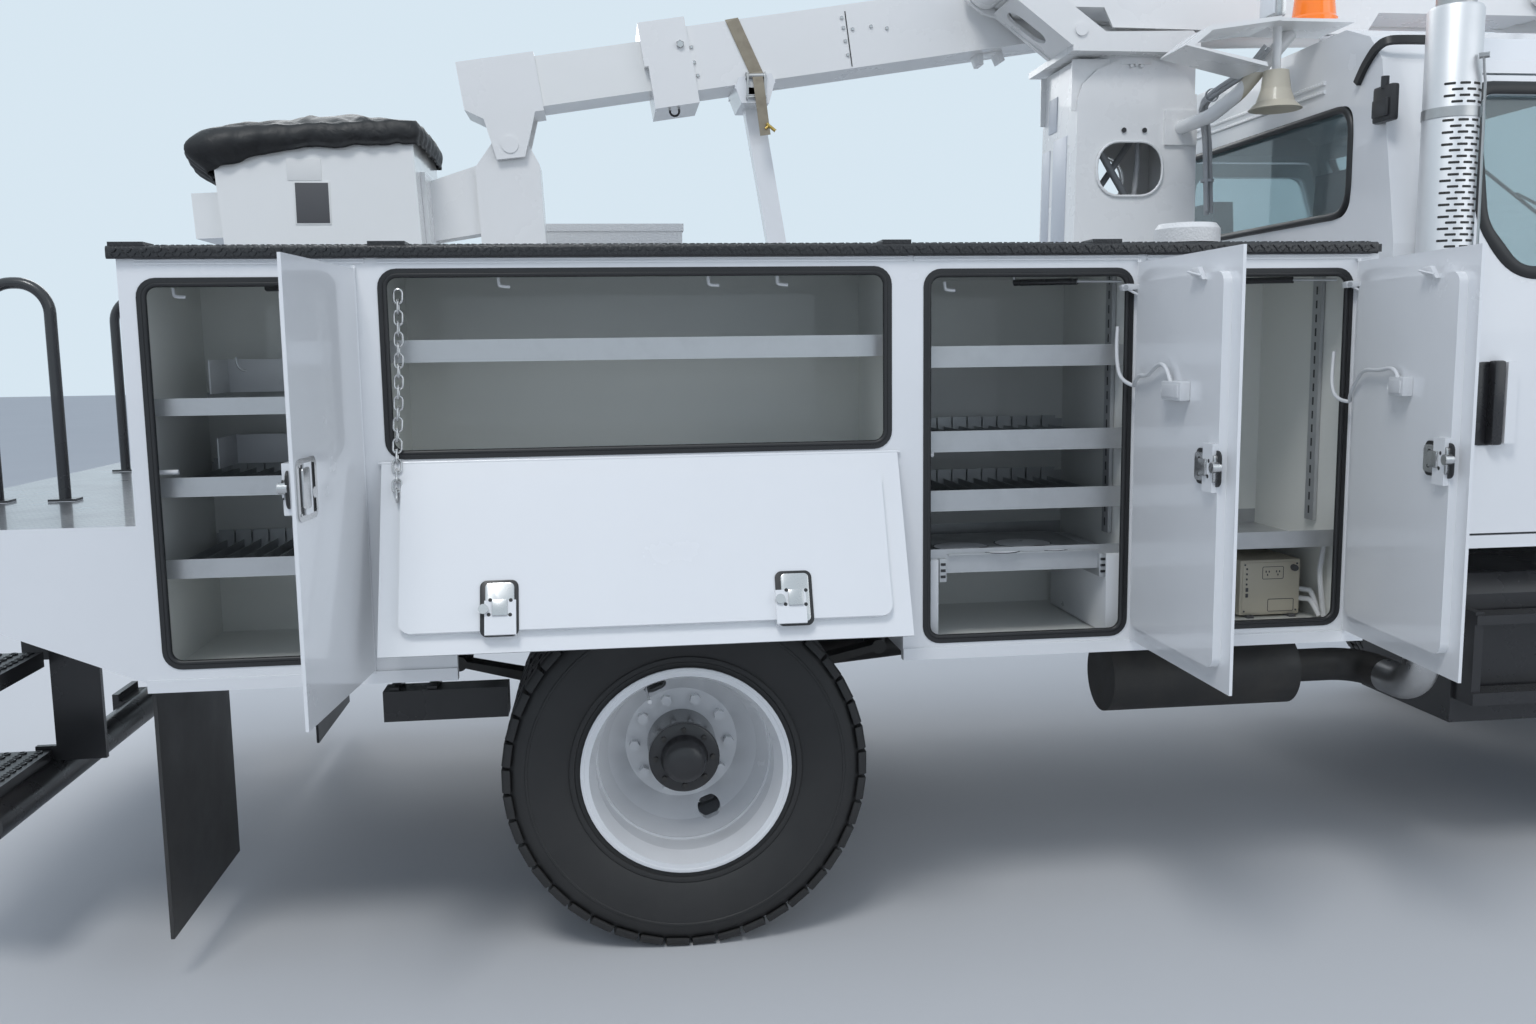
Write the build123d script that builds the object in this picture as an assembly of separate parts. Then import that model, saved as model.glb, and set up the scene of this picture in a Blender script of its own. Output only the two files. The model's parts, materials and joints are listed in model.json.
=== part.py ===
from build123d import *
import os
from math import cos, hypot, radians, sin

# Sizes in millimetres. X points forward from the rear axle, Y to the truck's left, Z up from the road.

# wheels and axles
tyreRadius = 520
tyreWidth = 280
beadRadius = 286
shoulderRadius = 60
rimFlangeRadius = 299
rimWall = 9
rimWidth = 236
discInset = 167
discWall = 12
hubRadius = 104
hubReach = 165
studCircle = 143
nutRadius = 17
nutHeight = 26
nutCount = 10
handHoleRadius = 24
handHolePlace = 207
wheelbase = 3850


def fore(x):
    # a place along the truck that keeps its distance to the front axle
    return wheelbase + x


bodyHalf = 1219
rearTyreY = bodyHalf - 159
dualSpacing = 335
frontTyreY = 1000
drumRadius = 205
drumLength = 150
spindleRadius = 45
runningGap = 0.09
axleHeight = tyreRadius

# chassis
railY = 430
railHeight = 260
railFlange = 85
railWall = 10
railTop = 1010
railRear = -2080
railFront = fore(840)
springWidth = 76
springY = 480
springHalf = 700
springThick = 90

# service body
boxDepth = 609
bodyRear = -1424
bodyFront = 2015
bodyBottom = 825
bodyTop = 1962
wallThick = 25
railCap = 22
archHalf = 620
archTop = 1190
deckTop = 1080
deckThick = 30
seatGap = 0.3

# doors of the service body
doorSkin = 8
doorPan = 22
panInset = 34
doorGap = 3
hingeOut = 5
lockerPin = 2.5
lockerKnuckle = 5

# hitch plate holes: spacing across, spacing up, radius
hitchWide = 85.7
hitchHigh = 44.5
hitchHole = 7

# tail
tailRear = -2250
tailTop = 1272
tailLip = 1195
tailPanel = 30

# cab
cabRear = fore(-1682)
cabHalf = 1048
cabRoof = 2690
cabFloor = 1060
cabWall = 45
glassThick = 6
doorRearX = fore(-1455)
doorFrontX = fore(-550)
cabGap = 7

# hood hinge: place along the truck, height
hoodHinge = (fore(888), 826)
hoodPin = 10

# boom
turretX = 1710
turretLong = 480
turretWide = 400
turretTop = 2720
slewPlate = 22
armPivot = (1207, 2990)
armReach = 2093
armDeep = 210
armSide = (-215, -25)
boomSide = (44, 264)
boomDeep = 224
boomWall = 12
boomDrop = 8.5
innerDeep = 174
innerSide = (62, 246)
elbowRise = 230
pinRadius = 40


def block(x0, x1, y0, y1, z0, z1):
    return Pos((x0 + x1) / 2, (y0 + y1) / 2, (z0 + z1) / 2) * Box(x1 - x0, y1 - y0, z1 - z0)


def slab(points, axis, start, end, radius=0):
    place = {
        "X": lambda u, v: (start, u, v),
        "Y": lambda u, v: (u, start, v),
        "Z": lambda u, v: (u, v, start),
    }[axis]
    way = {"X": (1, 0, 0), "Y": (0, 1, 0), "Z": (0, 0, 1)}[axis]
    corners = [place(u, v) for u, v in points]
    if radius:
        outline = FilletPolyline(*corners, radius=radius, close=True)
    else:
        outline = Polyline(*corners, close=True)
    return extrude(make_face(outline), amount=end - start, dir=way)


def rod(start, end, radius):
    way = Vector(*end) - Vector(*start)
    return extrude(Plane(origin=start, z_dir=way) * Circle(radius), amount=way.length)


def tube(points, radius, bend, wall=0):
    path = FilletPolyline(*points, radius=bend) if len(points) > 2 else Line(*points)
    first = Vector(*points[1]) - Vector(*points[0])
    ring = Plane(origin=points[0], z_dir=first) * Circle(radius)
    outer = sweep(ring, path=path)
    if wall:
        outer -= sweep(Plane(origin=points[0], z_dir=first) * Circle(radius - wall), path=path)
    return outer


def apart(pieces):
    # solids that share a node without touching
    return Compound([solid for piece in pieces for solid in piece.solids()])


def wheelTurn(points, y, side):
    # profile columns: distance outboard from the tyre's middle, radius
    outline = Polyline(*[(0, y + side * out, r) for out, r in points], close=True)
    return revolve(make_face(outline), Axis((0, 0, 0), (0, 1, 0)))


def tyre(y, side):
    half = tyreWidth / 2
    wide = rimWidth / 2
    profile = [
        (-wide + 4, beadRadius), (-wide + 4, rimFlangeRadius + 16), (-half, tyreRadius - 130),
        (-half + 4, tyreRadius - 60), (-half + 14, tyreRadius - 10), (-half + 34, tyreRadius),
        (half - 34, tyreRadius), (half - 14, tyreRadius - 10), (half - 4, tyreRadius - 60),
        (half, tyreRadius - 130), (wide - 4, rimFlangeRadius + 16), (wide - 4, beadRadius),
    ]
    return wheelTurn(profile, y, side)


def barrel(y, side):
    wide = rimWidth / 2
    inner = beadRadius - seatGap
    profile = [
        (-wide - 6, rimFlangeRadius), (-wide - 6, inner - rimWall), (-40, inner - 28), (60, inner - 28),
        (wide + 6, inner - rimWall), (wide + 6, rimFlangeRadius), (wide - 3, rimFlangeRadius), (wide - 3, inner),
        (60, inner - 16), (-40, inner - 16), (-wide + 3, inner), (-wide + 3, rimFlangeRadius),
    ]
    return wheelTurn(profile, y, side)


def disc(y, side, face):
    # face is the way the bolt face lies from the tyre's middle, in the outboard direction
    reach = face * discInset
    outer = beadRadius - 24
    lead = face * 20
    profile = [
        (lead, outer), (reach - face * 60, 232), (reach, 176), (reach, 60),
        (reach - face * discWall, 60), (reach - face * discWall, 170), (reach - face * 72, 224),
        (lead - face * 14, outer),
    ]
    return wheelTurn(profile, y, side)


def handHoles(y, side, face):
    level = y + side * face * (discInset - 60)
    holes = []
    for turn in (68, 248):
        spot = Plane(origin=(0, level - 90, 0), x_dir=(1, 0, 0), z_dir=(0, 1, 0))
        oval = spot * Rot(0, 0, turn) * Pos(handHolePlace, 0) * SlotOverall(2.9 * handHoleRadius, 2 * handHoleRadius, 90)
        holes.append(extrude(oval, amount=180))
    return holes


def studs(face, out):
    # nuts on the bolt face at y = face, standing out in the direction out
    spot = Plane(origin=(0, face, 0), x_dir=(1, 0, 0), z_dir=(0, out, 0))
    ring = [spot * loc * RegularPolygon(nutRadius, 6) for loc in PolarLocations(studCircle, nutCount)]
    return [extrude(nut, amount=nutHeight) for nut in ring]


def rearWheel(side):
    outerY = side * rearTyreY
    innerY = side * (rearTyreY - dualSpacing)
    tyres = tyre(outerY, side) + tyre(innerY, side)
    seat = side * (rearTyreY - discInset)
    metal = barrel(outerY, side) + barrel(innerY, side)
    metal += disc(outerY, side, -1) + disc(innerY, side, 1)
    for hole in handHoles(outerY, side, -1) + handHoles(innerY, side, 1):
        metal -= hole
    for nut in studs(seat + side * discWall, side):
        metal += nut
    drumY = seat - side * (discWall + drumLength)
    metal += rod((0, drumY, 0), (0, seat, 0), drumRadius - 35)
    metal += rod((0, seat - side * discWall, 0), (0, seat + side * hubReach, 0), hubRadius)
    metal -= rod((0, drumY - side, 0), (0, seat - side * 20, 0), spindleRadius + runningGap)
    return [Pos(0, 0, axleHeight) * shape for shape in (tyres, metal)]


def frontWheel(side):
    y = side * frontTyreY
    rubber = tyre(y, side)
    seat = side * (frontTyreY + discInset)
    metal = barrel(y, side) + disc(y, side, 1)
    for hole in handHoles(y, side, 1):
        metal -= hole
    for nut in studs(seat, side):
        metal += nut
    metal += rod((0, seat - side * 190, 0), (0, seat + side * 55, 0), hubRadius - 22)
    metal -= rod((0, seat - side * 191, 0), (0, seat - side * 30, 0), spindleRadius - 8 + runningGap)
    return [Pos(wheelbase, 0, axleHeight) * shape for shape in (rubber, metal)]


def leafPack(x, side, seatZ, top):
    y0 = side * springY - springWidth / 2
    low = seatZ
    points = [(x - springHalf, top), (x - 380, top - 70), (x - 120, low + springThick), (x + 120, low + springThick),
              (x + 380, top - 70), (x + springHalf, top), (x + springHalf, top - 22), (x + 400, top - 102),
              (x + 120, low), (x - 120, low), (x - 400, top - 102), (x - springHalf, top - 22)]
    pack = slab(points, "Y", y0, y0 + springWidth)
    for end in (-1, 1):
        eye = (x + end * springHalf, y0, top - 12)
        pack += rod(eye, (eye[0], y0 + springWidth, eye[2]), 24)
    return pack


def rearAxle():
    inboard = rearTyreY - discInset - discWall - drumLength
    housing = rod((0, -inboard + 8, axleHeight), (0, inboard - 8, axleHeight), 68)
    housing += rod((0, -inboard - 90, axleHeight), (0, inboard + 90, axleHeight), spindleRadius)
    banjo = revolve(make_face(Polyline((-130, 60, 0), (-85, 165, 0), (-30, 190, 0), (60, 190, 0), (110, 150, 0), (150, 60, 0), (150, 0, 0),
                                       (-130, 0, 0), close=True)), Axis((0, 0, 0), (1, 0, 0)))
    banjo = Pos(0, 0, axleHeight) * banjo
    banjo += rod((0, 0, axleHeight), (330, 0, axleHeight + 20), 95)
    housing += banjo
    housing += rod((320, 0, axleHeight + 20), (fore(-950), 0, axleHeight + 240), 50)
    for side in (-1, 1):
        housing += block(-110, 110, side * springY - 45, side * springY + 45, axleHeight + 40, axleHeight + 90)
        housing += leafPack(0, side, axleHeight + 85, railTop - railHeight - 40)
    return housing


kingpinY = 850


def frontAxle():
    z = axleHeight - 120
    # left half of the dropped beam's outline: across the truck, height
    half = [(0, z - 50), (690, z - 50), (750, z + 10), (kingpinY - 62, axleHeight - 38), (kingpinY - 32, axleHeight - 38),
            (kingpinY - 32, axleHeight + 38), (kingpinY - 100, axleHeight + 38), (730, z + 100), (680, z + 50), (0, z + 50)]
    beam = slab(half + [(-y, v) for y, v in reversed(half[1:-1])], "X", wheelbase - 50, wheelbase + 50)
    for side in (-1, 1):
        beam += rod((wheelbase, side * kingpinY, axleHeight - 38), (wheelbase, side * kingpinY, axleHeight + 38), 45)
        beam += block(wheelbase - 90, wheelbase + 90, side * springY - 45, side * springY + 45, z + 20, z + 90)
        beam += leafPack(wheelbase, side, z + 85, railTop - railHeight - 40)
        beam -= rod((wheelbase, side * kingpinY, axleHeight - 60), (wheelbase, side * kingpinY, axleHeight + 60), 22 + runningGap)
    return beam


def knuckle(side):
    y = side * kingpinY
    pin = rod((wheelbase, y, axleHeight - 75), (wheelbase, y, axleHeight + 75), 22)
    yoke = pin
    for low, high in ((-85, -44), (44, 85)):
        yoke += rod((wheelbase, y, axleHeight + low), (wheelbase, y, axleHeight + high), 46)
    hang = side * (kingpinY + 52)
    yoke += block(wheelbase - 46, wheelbase + 46, min(hang, hang + side * 34), max(hang, hang + side * 34),
                  axleHeight - 85, axleHeight + 85)
    for low, high in ((-85, -44), (44, 85)):
        yoke += block(wheelbase - 46, wheelbase + 46, min(y, hang), max(y, hang), axleHeight + low, axleHeight + high)
    tip = side * (frontTyreY + discInset - 60)
    yoke += rod((wheelbase, hang, axleHeight), (wheelbase, tip, axleHeight), spindleRadius - 8)
    return yoke


def chassisFrame():
    top = railTop
    low = railTop - railHeight
    frame = None
    for side in (-1, 1):
        web = [(side * railY, low), (side * railY, top), (side * (railY - railFlange), top),
               (side * (railY - railFlange), top - railWall), (side * (railY - railWall), top - railWall),
               (side * (railY - railWall), low + railWall), (side * (railY - railFlange), low + railWall),
               (side * (railY - railFlange), low)]
        rail = slab(web, "X", railRear, railFront)
        frame = rail if frame is None else frame + rail
    # cross members: place along the truck, length along it
    for x, long in ((-2000, 60), (-1150, 60), (-700, 60), (700, 60), (1500, 80), (fore(-1350), 60), (fore(770), 60)):
        frame += block(x - long / 2, x + long / 2, -railY + railWall, railY - railWall, low + 40, top - 40)
    # spring hangers and shackles
    for x in (-springHalf, springHalf, wheelbase - springHalf, wheelbase + springHalf):
        for side in (-1, 1):
            y = side * (railY + 18)
            hanger = slab([(x - 60, top - 90), (x + 60, top - 90), (x + 34, low - 70), (x - 34, low - 70)],
                          "Y", *sorted((side * (railY - 1), side * (springY - springWidth / 2 - seatGap))))
            frame += hanger
    # cab mounts on the rails
    for x in (fore(-1590), fore(-550)):
        for side in (-1, 1):
            frame += block(x, x + 90, *sorted((side * (railY - railFlange), side * railY)), top - 1, cabFloor - seatGap)
    # hood hinge plates and pins
    hx, hz = hoodHinge
    for side in (-1, 1):
        frame += block(hx - 140, hx + 12, *sorted((side * 403, side * 425)), hz - 20, hz + 20)
        frame += rod((hx, side * 370, hz), (hx, side * 410, hz), hoodPin)
    # closed box on the right rail behind the wheels, with its arms
    frame += block(-940, -545, -570, -470, 530, 630)
    for x in (-920, -800):
        frame += block(x, x + 30, -560, -railY + 1, 600, 640)
        frame += block(x, x + 30, -railY - 20, -railY + 1, 600, low + 40)
    return frame


def engineBlock():
    engine = block(fore(-360), fore(630), -320, 320, 800, 1440)
    for x in (fore(-250), fore(450)):
        for side in (-1, 1):
            engine += block(x, x + 80, *sorted((side * 319, side * 400)), railTop + seatGap, railTop + 30)
    return engine


# cab


def cabForm(inset):
    side = [(cabRear + inset, cabFloor + inset), (cabRear + inset, cabRoof - inset),
            (fore(-950), cabRoof - inset), (fore(-820) - inset * 0.4, cabRoof - 60 - inset),
            (fore(-410) - inset * 1.3, 1900 + inset * 0.2), (fore(-390) - inset, 1700), (fore(-390) - inset, cabFloor + inset)]
    form = slab(side, "Y", -cabHalf - 100, cabHalf + 100, 0)
    front = [(-cabHalf + inset, cabFloor + inset), (-cabHalf + inset, 2000), (-cabHalf + 100 + inset, 2560 - inset * 0.3),
             (-cabHalf + 170 + inset * 0.8, 2640 - inset * 0.6), (-cabHalf + 300 + inset * 0.5, cabRoof - inset),
             (cabHalf - 300 - inset * 0.5, cabRoof - inset), (cabHalf - 170 - inset * 0.8, 2640 - inset * 0.6),
             (cabHalf - 100 - inset, 2560 - inset * 0.3), (cabHalf - inset, 2000), (cabHalf - inset, cabFloor + inset)]
    return form & slab(front, "X", cabRear - 200, fore(-150))


def doorOutline(gap):
    return [(doorRearX + gap, cabFloor + 40 + gap), (doorFrontX - gap, cabFloor + 40 + gap), (doorFrontX - gap, 1900),
            (fore(-840) - gap, 2520 - gap), (doorRearX + gap, 2520 - gap)]


def windowOutline(gap):
    return [(doorRearX + 85 + gap, 2060 + gap), (doorRearX + 190 + gap, 1930 + gap), (doorFrontX - 90 - gap, 1930 + gap),
            (fore(-860) - gap, 2455 - gap), (doorRearX + 85 + gap, 2455 - gap)]


def screenOutline(gap):
    return [(-920 + gap, 1960 + gap), (-850 + gap, 2560 - gap), (850 - gap, 2560 - gap), (920 - gap, 1960 + gap)]


def rearOutline(gap):
    return [(-808 + gap, 2105 + gap), (-808 + gap, 2455 - gap), (808 - gap, 2455 - gap), (808 - gap, 2105 + gap)]


# cab door hinges: radius of pin and barrel, how far the pin stands off the cab's side, heights
doorPin = 7
doorBarrel = 13
doorPinOut = 14
doorHingeHeights = (1280, 1740)
doorHingeX = doorFrontX - 2


def cabHinge(side, carried):
    # the pieces of both hinges of a cab door that the door carries, or else those of the shell
    x = doorHingeX
    y = side * (cabHalf + doorPinOut)
    face = side * (cabHalf - 1)
    pieces = []
    for z in doorHingeHeights:
        if carried:
            barrel = rod((x, y, z), (x, y, z + 60), doorBarrel)
            barrel += block(x - 60, x, *sorted((face, y)), z, z + 60)
            pieces.append((barrel, rod((x, y, z - 1), (x, y, z + 61), doorPin + runningGap)))
        else:
            lugs = rod((x, y, z - 14), (x, y, z + 74), doorPin)
            for low in (z - 14, z + 61):
                lugs += rod((x, y, low), (x, y, low + 13), doorBarrel)
                lugs += block(x, x + 60, *sorted((face, y)), low, low + 13)
            pieces.append((lugs, None))
    return pieces


def cabShell():
    shell = cabForm(0) - cabForm(cabWall)
    shell -= slab(doorOutline(0), "Y", -cabHalf - 150, cabHalf + 150, 38)
    shell -= slab(screenOutline(0), "X", fore(-800), fore(-150), 60)
    shell -= slab(rearOutline(0), "X", cabRear - 50, cabRear + 100, 60)
    for side in (-1, 1):
        for lugs, _ in cabHinge(side, False):
            shell += lugs
    return shell


def cabDoor(side):
    lo, hi = (-cabHalf - 150, -600) if side < 0 else (600, cabHalf + 150)
    leaf = (cabForm(0) - cabForm(cabWall)) & slab(doorOutline(cabGap), "Y", lo, hi, 40)
    leaf -= slab(windowOutline(0), "Y", lo, hi, 50)
    for piece, bore in cabHinge(side, True):
        leaf += piece
        leaf -= bore
    face = side * cabHalf
    # pull handle: recess plate and bar
    leaf += block(doorRearX + 150, doorRearX + 185, min(face, face + side * 32), max(face, face + side * 32), 1390, 1640)
    # mirror arm and head
    leaf += rod((doorFrontX - 120, face - side * 20, 1700), (doorFrontX - 60, face + side * 190, 1760), 14)
    leaf += rod((doorFrontX - 120, face - side * 20, 1880), (doorFrontX - 60, face + side * 190, 2080), 14)
    leaf += block(doorFrontX - 110, doorFrontX - 30, min(face + side * 120, face + side * 300),
                  max(face + side * 120, face + side * 300), 1740, 2200)
    return leaf


def doorGlass(side):
    lo, hi = (-cabHalf - 150, -600) if side < 0 else (600, cabHalf + 150)
    return (cabForm(20) - cabForm(20 + glassThick)) & slab(windowOutline(seatGap), "Y", lo, hi, 50)


def fixedGlass():
    skin = cabForm(20) - cabForm(20 + glassThick)
    screen = skin & slab(screenOutline(seatGap), "X", fore(-800), fore(-150), 60)
    back = skin & slab(rearOutline(seatGap), "X", cabRear - 50, cabRear + 100, 60)
    return apart([screen, back])


def cabInterior():
    floor = cabFloor + cabWall
    room = block(fore(-1590), fore(-520), -900, 900, floor + seatGap, floor + 30)
    for y in (-520, 520):
        room += block(fore(-1430), fore(-950), y - 260, y + 260, floor + 20, floor + 430)
        back = slab([(fore(-1520), floor + 300), (fore(-1370), floor + 330), (fore(-1450), floor + 1000), (fore(-1570), floor + 1000)], "Y", y - 240, y + 240, 20)
        room += back
        room += slab([(fore(-1560), floor + 980), (fore(-1460), floor + 980), (fore(-1470), floor + 1180), (fore(-1550), floor + 1180)], "Y", y - 140, y + 140)
    dash = slab([(fore(-670), floor + 20), (fore(-670), floor + 560), (fore(-770), floor + 760), (fore(-520), floor + 800), (fore(-470), floor + 20)], "Y", -930, 930)
    room += dash
    room += rod((fore(-700), 500, floor + 700), (fore(-860), 500, floor + 800), 30)
    section = Polyline((225 + 17, 0, 0), (225, 0, 17), (225 - 17, 0, 0), (225, 0, -17), close=True)
    ring = revolve(make_face(section), Axis((0, 0, 0), (0, 0, 1)))
    room += Plane(origin=(fore(-865), 500, floor + 803), z_dir=(-160, 0, 100)) * ring
    for turn in (90, 210, 330):
        room += Plane(origin=(fore(-865), 500, floor + 803), z_dir=(-160, 0, 100)) * Rot(0, 0, turn) * Pos(112, 0, 0) * Box(226, 30, 16)
    return room


hoodRear = fore(-380)
hoodFront = fore(940)


def hoodForm(inset):
    side = [(hoodRear, 700), (hoodRear, 1870 - inset), (fore(500), 1660 - inset), (fore(790), 1560 - inset),
            (hoodFront - inset, 1400 - inset), (hoodFront - inset, 700)]
    centre = slab(side, "Y", -640 + inset, 640 - inset)
    wing = [(hoodRear, 700), (hoodRear, 1420 - inset), (fore(450), 1360 - inset), (fore(750), 1280 - inset),
            (fore(890) - inset, 1080 - inset), (fore(890) - inset, 700)]
    fenders = slab(wing, "Y", -1180 + inset, 1180 - inset)
    plan = [(hoodRear - 10, -1140 + inset), (fore(-290), -1180 + inset), (fore(450), -1180 + inset), (fore(890), -1020 + inset), (fore(990), -600),
            (fore(990), 600), (fore(890), 1020 - inset), (fore(450), 1180 - inset), (fore(-290), 1180 - inset), (hoodRear - 10, 1140 - inset)]
    whole = centre + fenders
    return whole & slab(plan, "Z", 650, 1950)


def hood():
    shell = hoodForm(0) - Pos(-0.01, 0, 0) * hoodForm(30)
    arch = rod((wheelbase, -1300, axleHeight), (wheelbase, 1300, axleHeight), 615)
    shell -= arch
    shell -= block(fore(-550), fore(1150), -1300, 1300, 600, 838)
    shell -= block(fore(850), fore(1050), -430, 430, 900, 1380)
    for side in (-1, 1):
        shell -= block(fore(650), fore(1050), min(side * 640, side * 960), max(side * 640, side * 960), 940, 1150)
        hx, hz = hoodHinge
        lug = block(hx - 20, hx + 37, *sorted((side * 372, side * 402)), hz - 14, hz + 20)
        shell += lug
        shell -= rod((hx, side * 365, hz), (hx, side * 410, hz), hoodPin + runningGap)
    return shell


def grille():
    frame = block(fore(918), fore(950), -430 + seatGap, 430 - seatGap, 900 + seatGap, 1380 - seatGap) - block(fore(910), fore(960), -395, 395, 935, 1345)
    for z in (1000, 1070, 1140, 1210, 1280):
        frame += block(fore(922), fore(944), -400, 400, z - 12, z + 12)
    for y in (-200, 0, 200):
        frame += block(fore(924), fore(936), y - 8, y + 8, 930, 1350)
    return frame


def headlamps():
    lamps = []
    for side in (-1, 1):
        near = side * (640 + seatGap)
        far = side * (960 - seatGap)
        plan = [(fore(710), near), (fore(912), near), (fore(872), side * 800), (fore(790), far), (fore(710), far)]
        lamps.append(slab(plan, "Z", 940 + seatGap, 1150 - seatGap))
    return apart(lamps)


def frontBumper():
    plan = [(fore(710), -1190), (fore(910), -1190), (fore(1030), -980), (fore(1050), -500), (fore(1050), 500), (fore(1030), 980), (fore(910), 1190), (fore(710), 1190),
            (fore(710), 1150), (fore(880), 1150), (fore(995), 950), (fore(1012), 480), (fore(1012), -480), (fore(995), -950), (fore(880), -1150), (fore(710), -1150)]
    bar = slab(plan, "Z", 430, 740)
    for side in (-1, 1):
        bar += block(railFront - 60, fore(1020), side * 400 - 25, side * 400 + 25, 500, 700)
        bar += block(railFront - 70, railFront - 10, *sorted((side * (railY + seatGap), side * (railY + 20))), 500, 960)
        bar += block(railFront - 70, railFront + 10, *sorted((side * 375, side * (railY + 20))), 500, 700)
    return bar


def sideTanks():
    pieces = []
    tank = slab([(500, 480), (500, 930), (560, 985), (900, 985), (985, 930), (985, 520), (930, 470), (560, 470)], "X", fore(-1470), fore(-760))
    pieces.append(tank + block(fore(-1250), fore(-1190), railY + seatGap, 520, 860, 960) + block(fore(-930), fore(-870), railY + seatGap, 520, 860, 960))
    box = slab([(-500, 480), (-500, 960), (-940, 960), (-985, 900), (-985, 480)], "X", fore(-1370), fore(-760))
    pieces.append(box + block(fore(-1250), fore(-1190), -520, -railY - seatGap, 860, 960) + block(fore(-930), fore(-870), -520, -railY - seatGap, 860, 960))
    for number, side in enumerate((1, -1)):
        y0, y1 = sorted((side * 1000, side * 1080))
        steps = block(fore(-1360), fore(-770), y0, y1, 560, 600) + block(fore(-1360), fore(-770), y0, y1, 820, 850)
        for x in (fore(-1360), fore(-800)):
            steps += block(x, x + 30, *sorted((side * 980, side * 1070)), 560, 860)
        pieces[number] += steps
    return apart(pieces)


stackX = fore(-1578)
stackY = -1135
pipeRadius = 54
guardRadius = 70


def exhaustStack():
    can = rod((1380, -790, 640), (2010, -790, 640), 118)
    run = tube([(2005, -790, 640), (stackX, -790, 640), (stackX, stackY, 640), (stackX, stackY, 3080)], pipeRadius, 105)
    guard = rod((stackX, stackY, 1560), (stackX, stackY, 2660), guardRadius)
    mount = block(stackX - 20, stackX + 20, stackY + 60, -cabHalf - seatGap, 2360, 2420)
    mount += block(stackX - 20, stackX + 20, stackY + 60, -cabHalf - seatGap, 1640, 1700)
    hanger = block(1600, 1640, -railY - 700 + 330, -railY - seatGap, 740, 800)
    hanger += block(1800, 1840, -railY - 700 + 330, -railY - seatGap, 740, 800)
    hanger += block(1600, 1640, -800, -740, 700, 800) + block(1800, 1840, -800, -740, 700, 800)
    return can + run + guard + mount + hanger


# service body

# compartments: rear end, front end, floor, ceiling of the clear inside
compartments = {
    "rear": (-1398, -842, 862, 1920),
    "wide": (-798, 610, 1400, 1940),
    "middle": (655, 1292, 862, 1920),
    "front": (1318, 1978, 862, 1920),
}
# door openings: rear edge, front edge, bottom, top
openings = {
    "rear": (-1372, -868, 895, 1900),
    "wide": (-772, 578, 1440, 1920),
    "middle": (687, 1272, 880, 1912),
    "front": (1350, 1930, 885, 1908),
}
# door skins: rear edge, front edge, bottom, top
doorSkins = {
    "rear": (-1400, -843, 862, 1930),
    "wide": (-792, 600, 1425, 1940),
    "middle": (672, 1290, 860, 1935),
    "front": (1334, 1948, 862, 1935),
}


def bodyBox(side):
    near = side * bodyHalf
    far = side * (bodyHalf - boxDepth)
    y0, y1 = sorted((near, far))
    box = block(bodyRear, bodyFront, y0, y1, bodyBottom, bodyTop)
    for name, (x0, x1, z0, z1) in compartments.items():
        i0, i1 = sorted((side * (bodyHalf - wallThick), side * (bodyHalf - boxDepth + wallThick)))
        box -= block(x0, x1, i0, i1, z0, z1)
        a0, a1, b0, b1 = openings[name]
        o0, o1 = sorted((side * (bodyHalf + 10), side * (bodyHalf - wallThick - 1)))
        hole = slab([(a0, b0), (a1, b0), (a1, b1), (a0, b1)], "Y", o0, o1, 40)
        box -= hole
    # wheel arch under the wide compartment
    arch = slab([(-archHalf, bodyBottom - 40), (-archHalf, archTop - 160), (-archHalf + 200, archTop),
                 (archHalf - 200, archTop), (archHalf, archTop - 160), (archHalf, bodyBottom - 40)], "Y", y0 - 10, y1 + 10)
    box -= arch
    well = block(-archHalf - 60, archHalf + 20, *sorted((side * (bodyHalf - wallThick), side * (bodyHalf - boxDepth - 10))),
                 bodyBottom - 40, archTop + 40)
    box -= well
    # rub rail along the bottom edge and gutter under the cap
    box += block(bodyRear, -archHalf, *sorted((near, near + side * 6)), bodyBottom, bodyBottom + 34)
    box += block(archHalf, bodyFront, *sorted((near, near + side * 6)), bodyBottom, bodyBottom + 34)
    return box


def topRails():
    pieces = []
    for side in (-1, 1):
        y0, y1 = sorted((side * (bodyHalf + 12), side * (bodyHalf - boxDepth)))
        cap = block(bodyRear - 14, bodyFront, y0, y1, bodyTop, bodyTop + railCap)
        # raised corner blocks: start, end along the truck
        for x0, x1 in ((-1438, -1352), (-800, -705), (560, 640), (1155, 1240)):
            b0, b1 = sorted((side * (bodyHalf + 12), side * (bodyHalf - 70)))
            cap += block(x0, x1, b0, b1, bodyTop + railCap - 1, bodyTop + railCap + 16)
        pieces.append(cap)
    x, y = puckPlace
    top = bodyTop + railCap
    puck = rod((x, y, top - 1), (x, y, top + 30), 90)
    puck += revolve(make_face(Polyline((0, 0, 0), (98, 0, 0), (98, 0, 42), (86, 0, 58), (0, 0, 62), close=True)),
                    Axis((0, 0, 0), (0, 0, 1))).moved(Location((x, y, top + 29)))
    pieces[0] += puck
    x0, x1, y0, y1, high = topBox
    case = block(x0, x1, y0, y1, top - 1, high) - block(x0 + 12, x1 - 12, y0 + 12, y1 - 12, top + 12, high - 12)
    case += block(x0 - 6, x1 + 6, y0 - 6, y1 + 6, high - 26, high + 4)
    pieces[1] += case
    return apart(pieces)


# round dome on the right rail, and the box on the left one: ends along, sides across, height of its top
puckPlace = (1583, -900)
topBox = (-424, 132, 700, 1000, 2227)
# degrees that each door of the right side stands open
openAngles = {"rear": 85, "wide": 157, "middle": 89, "front": 84}


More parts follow.
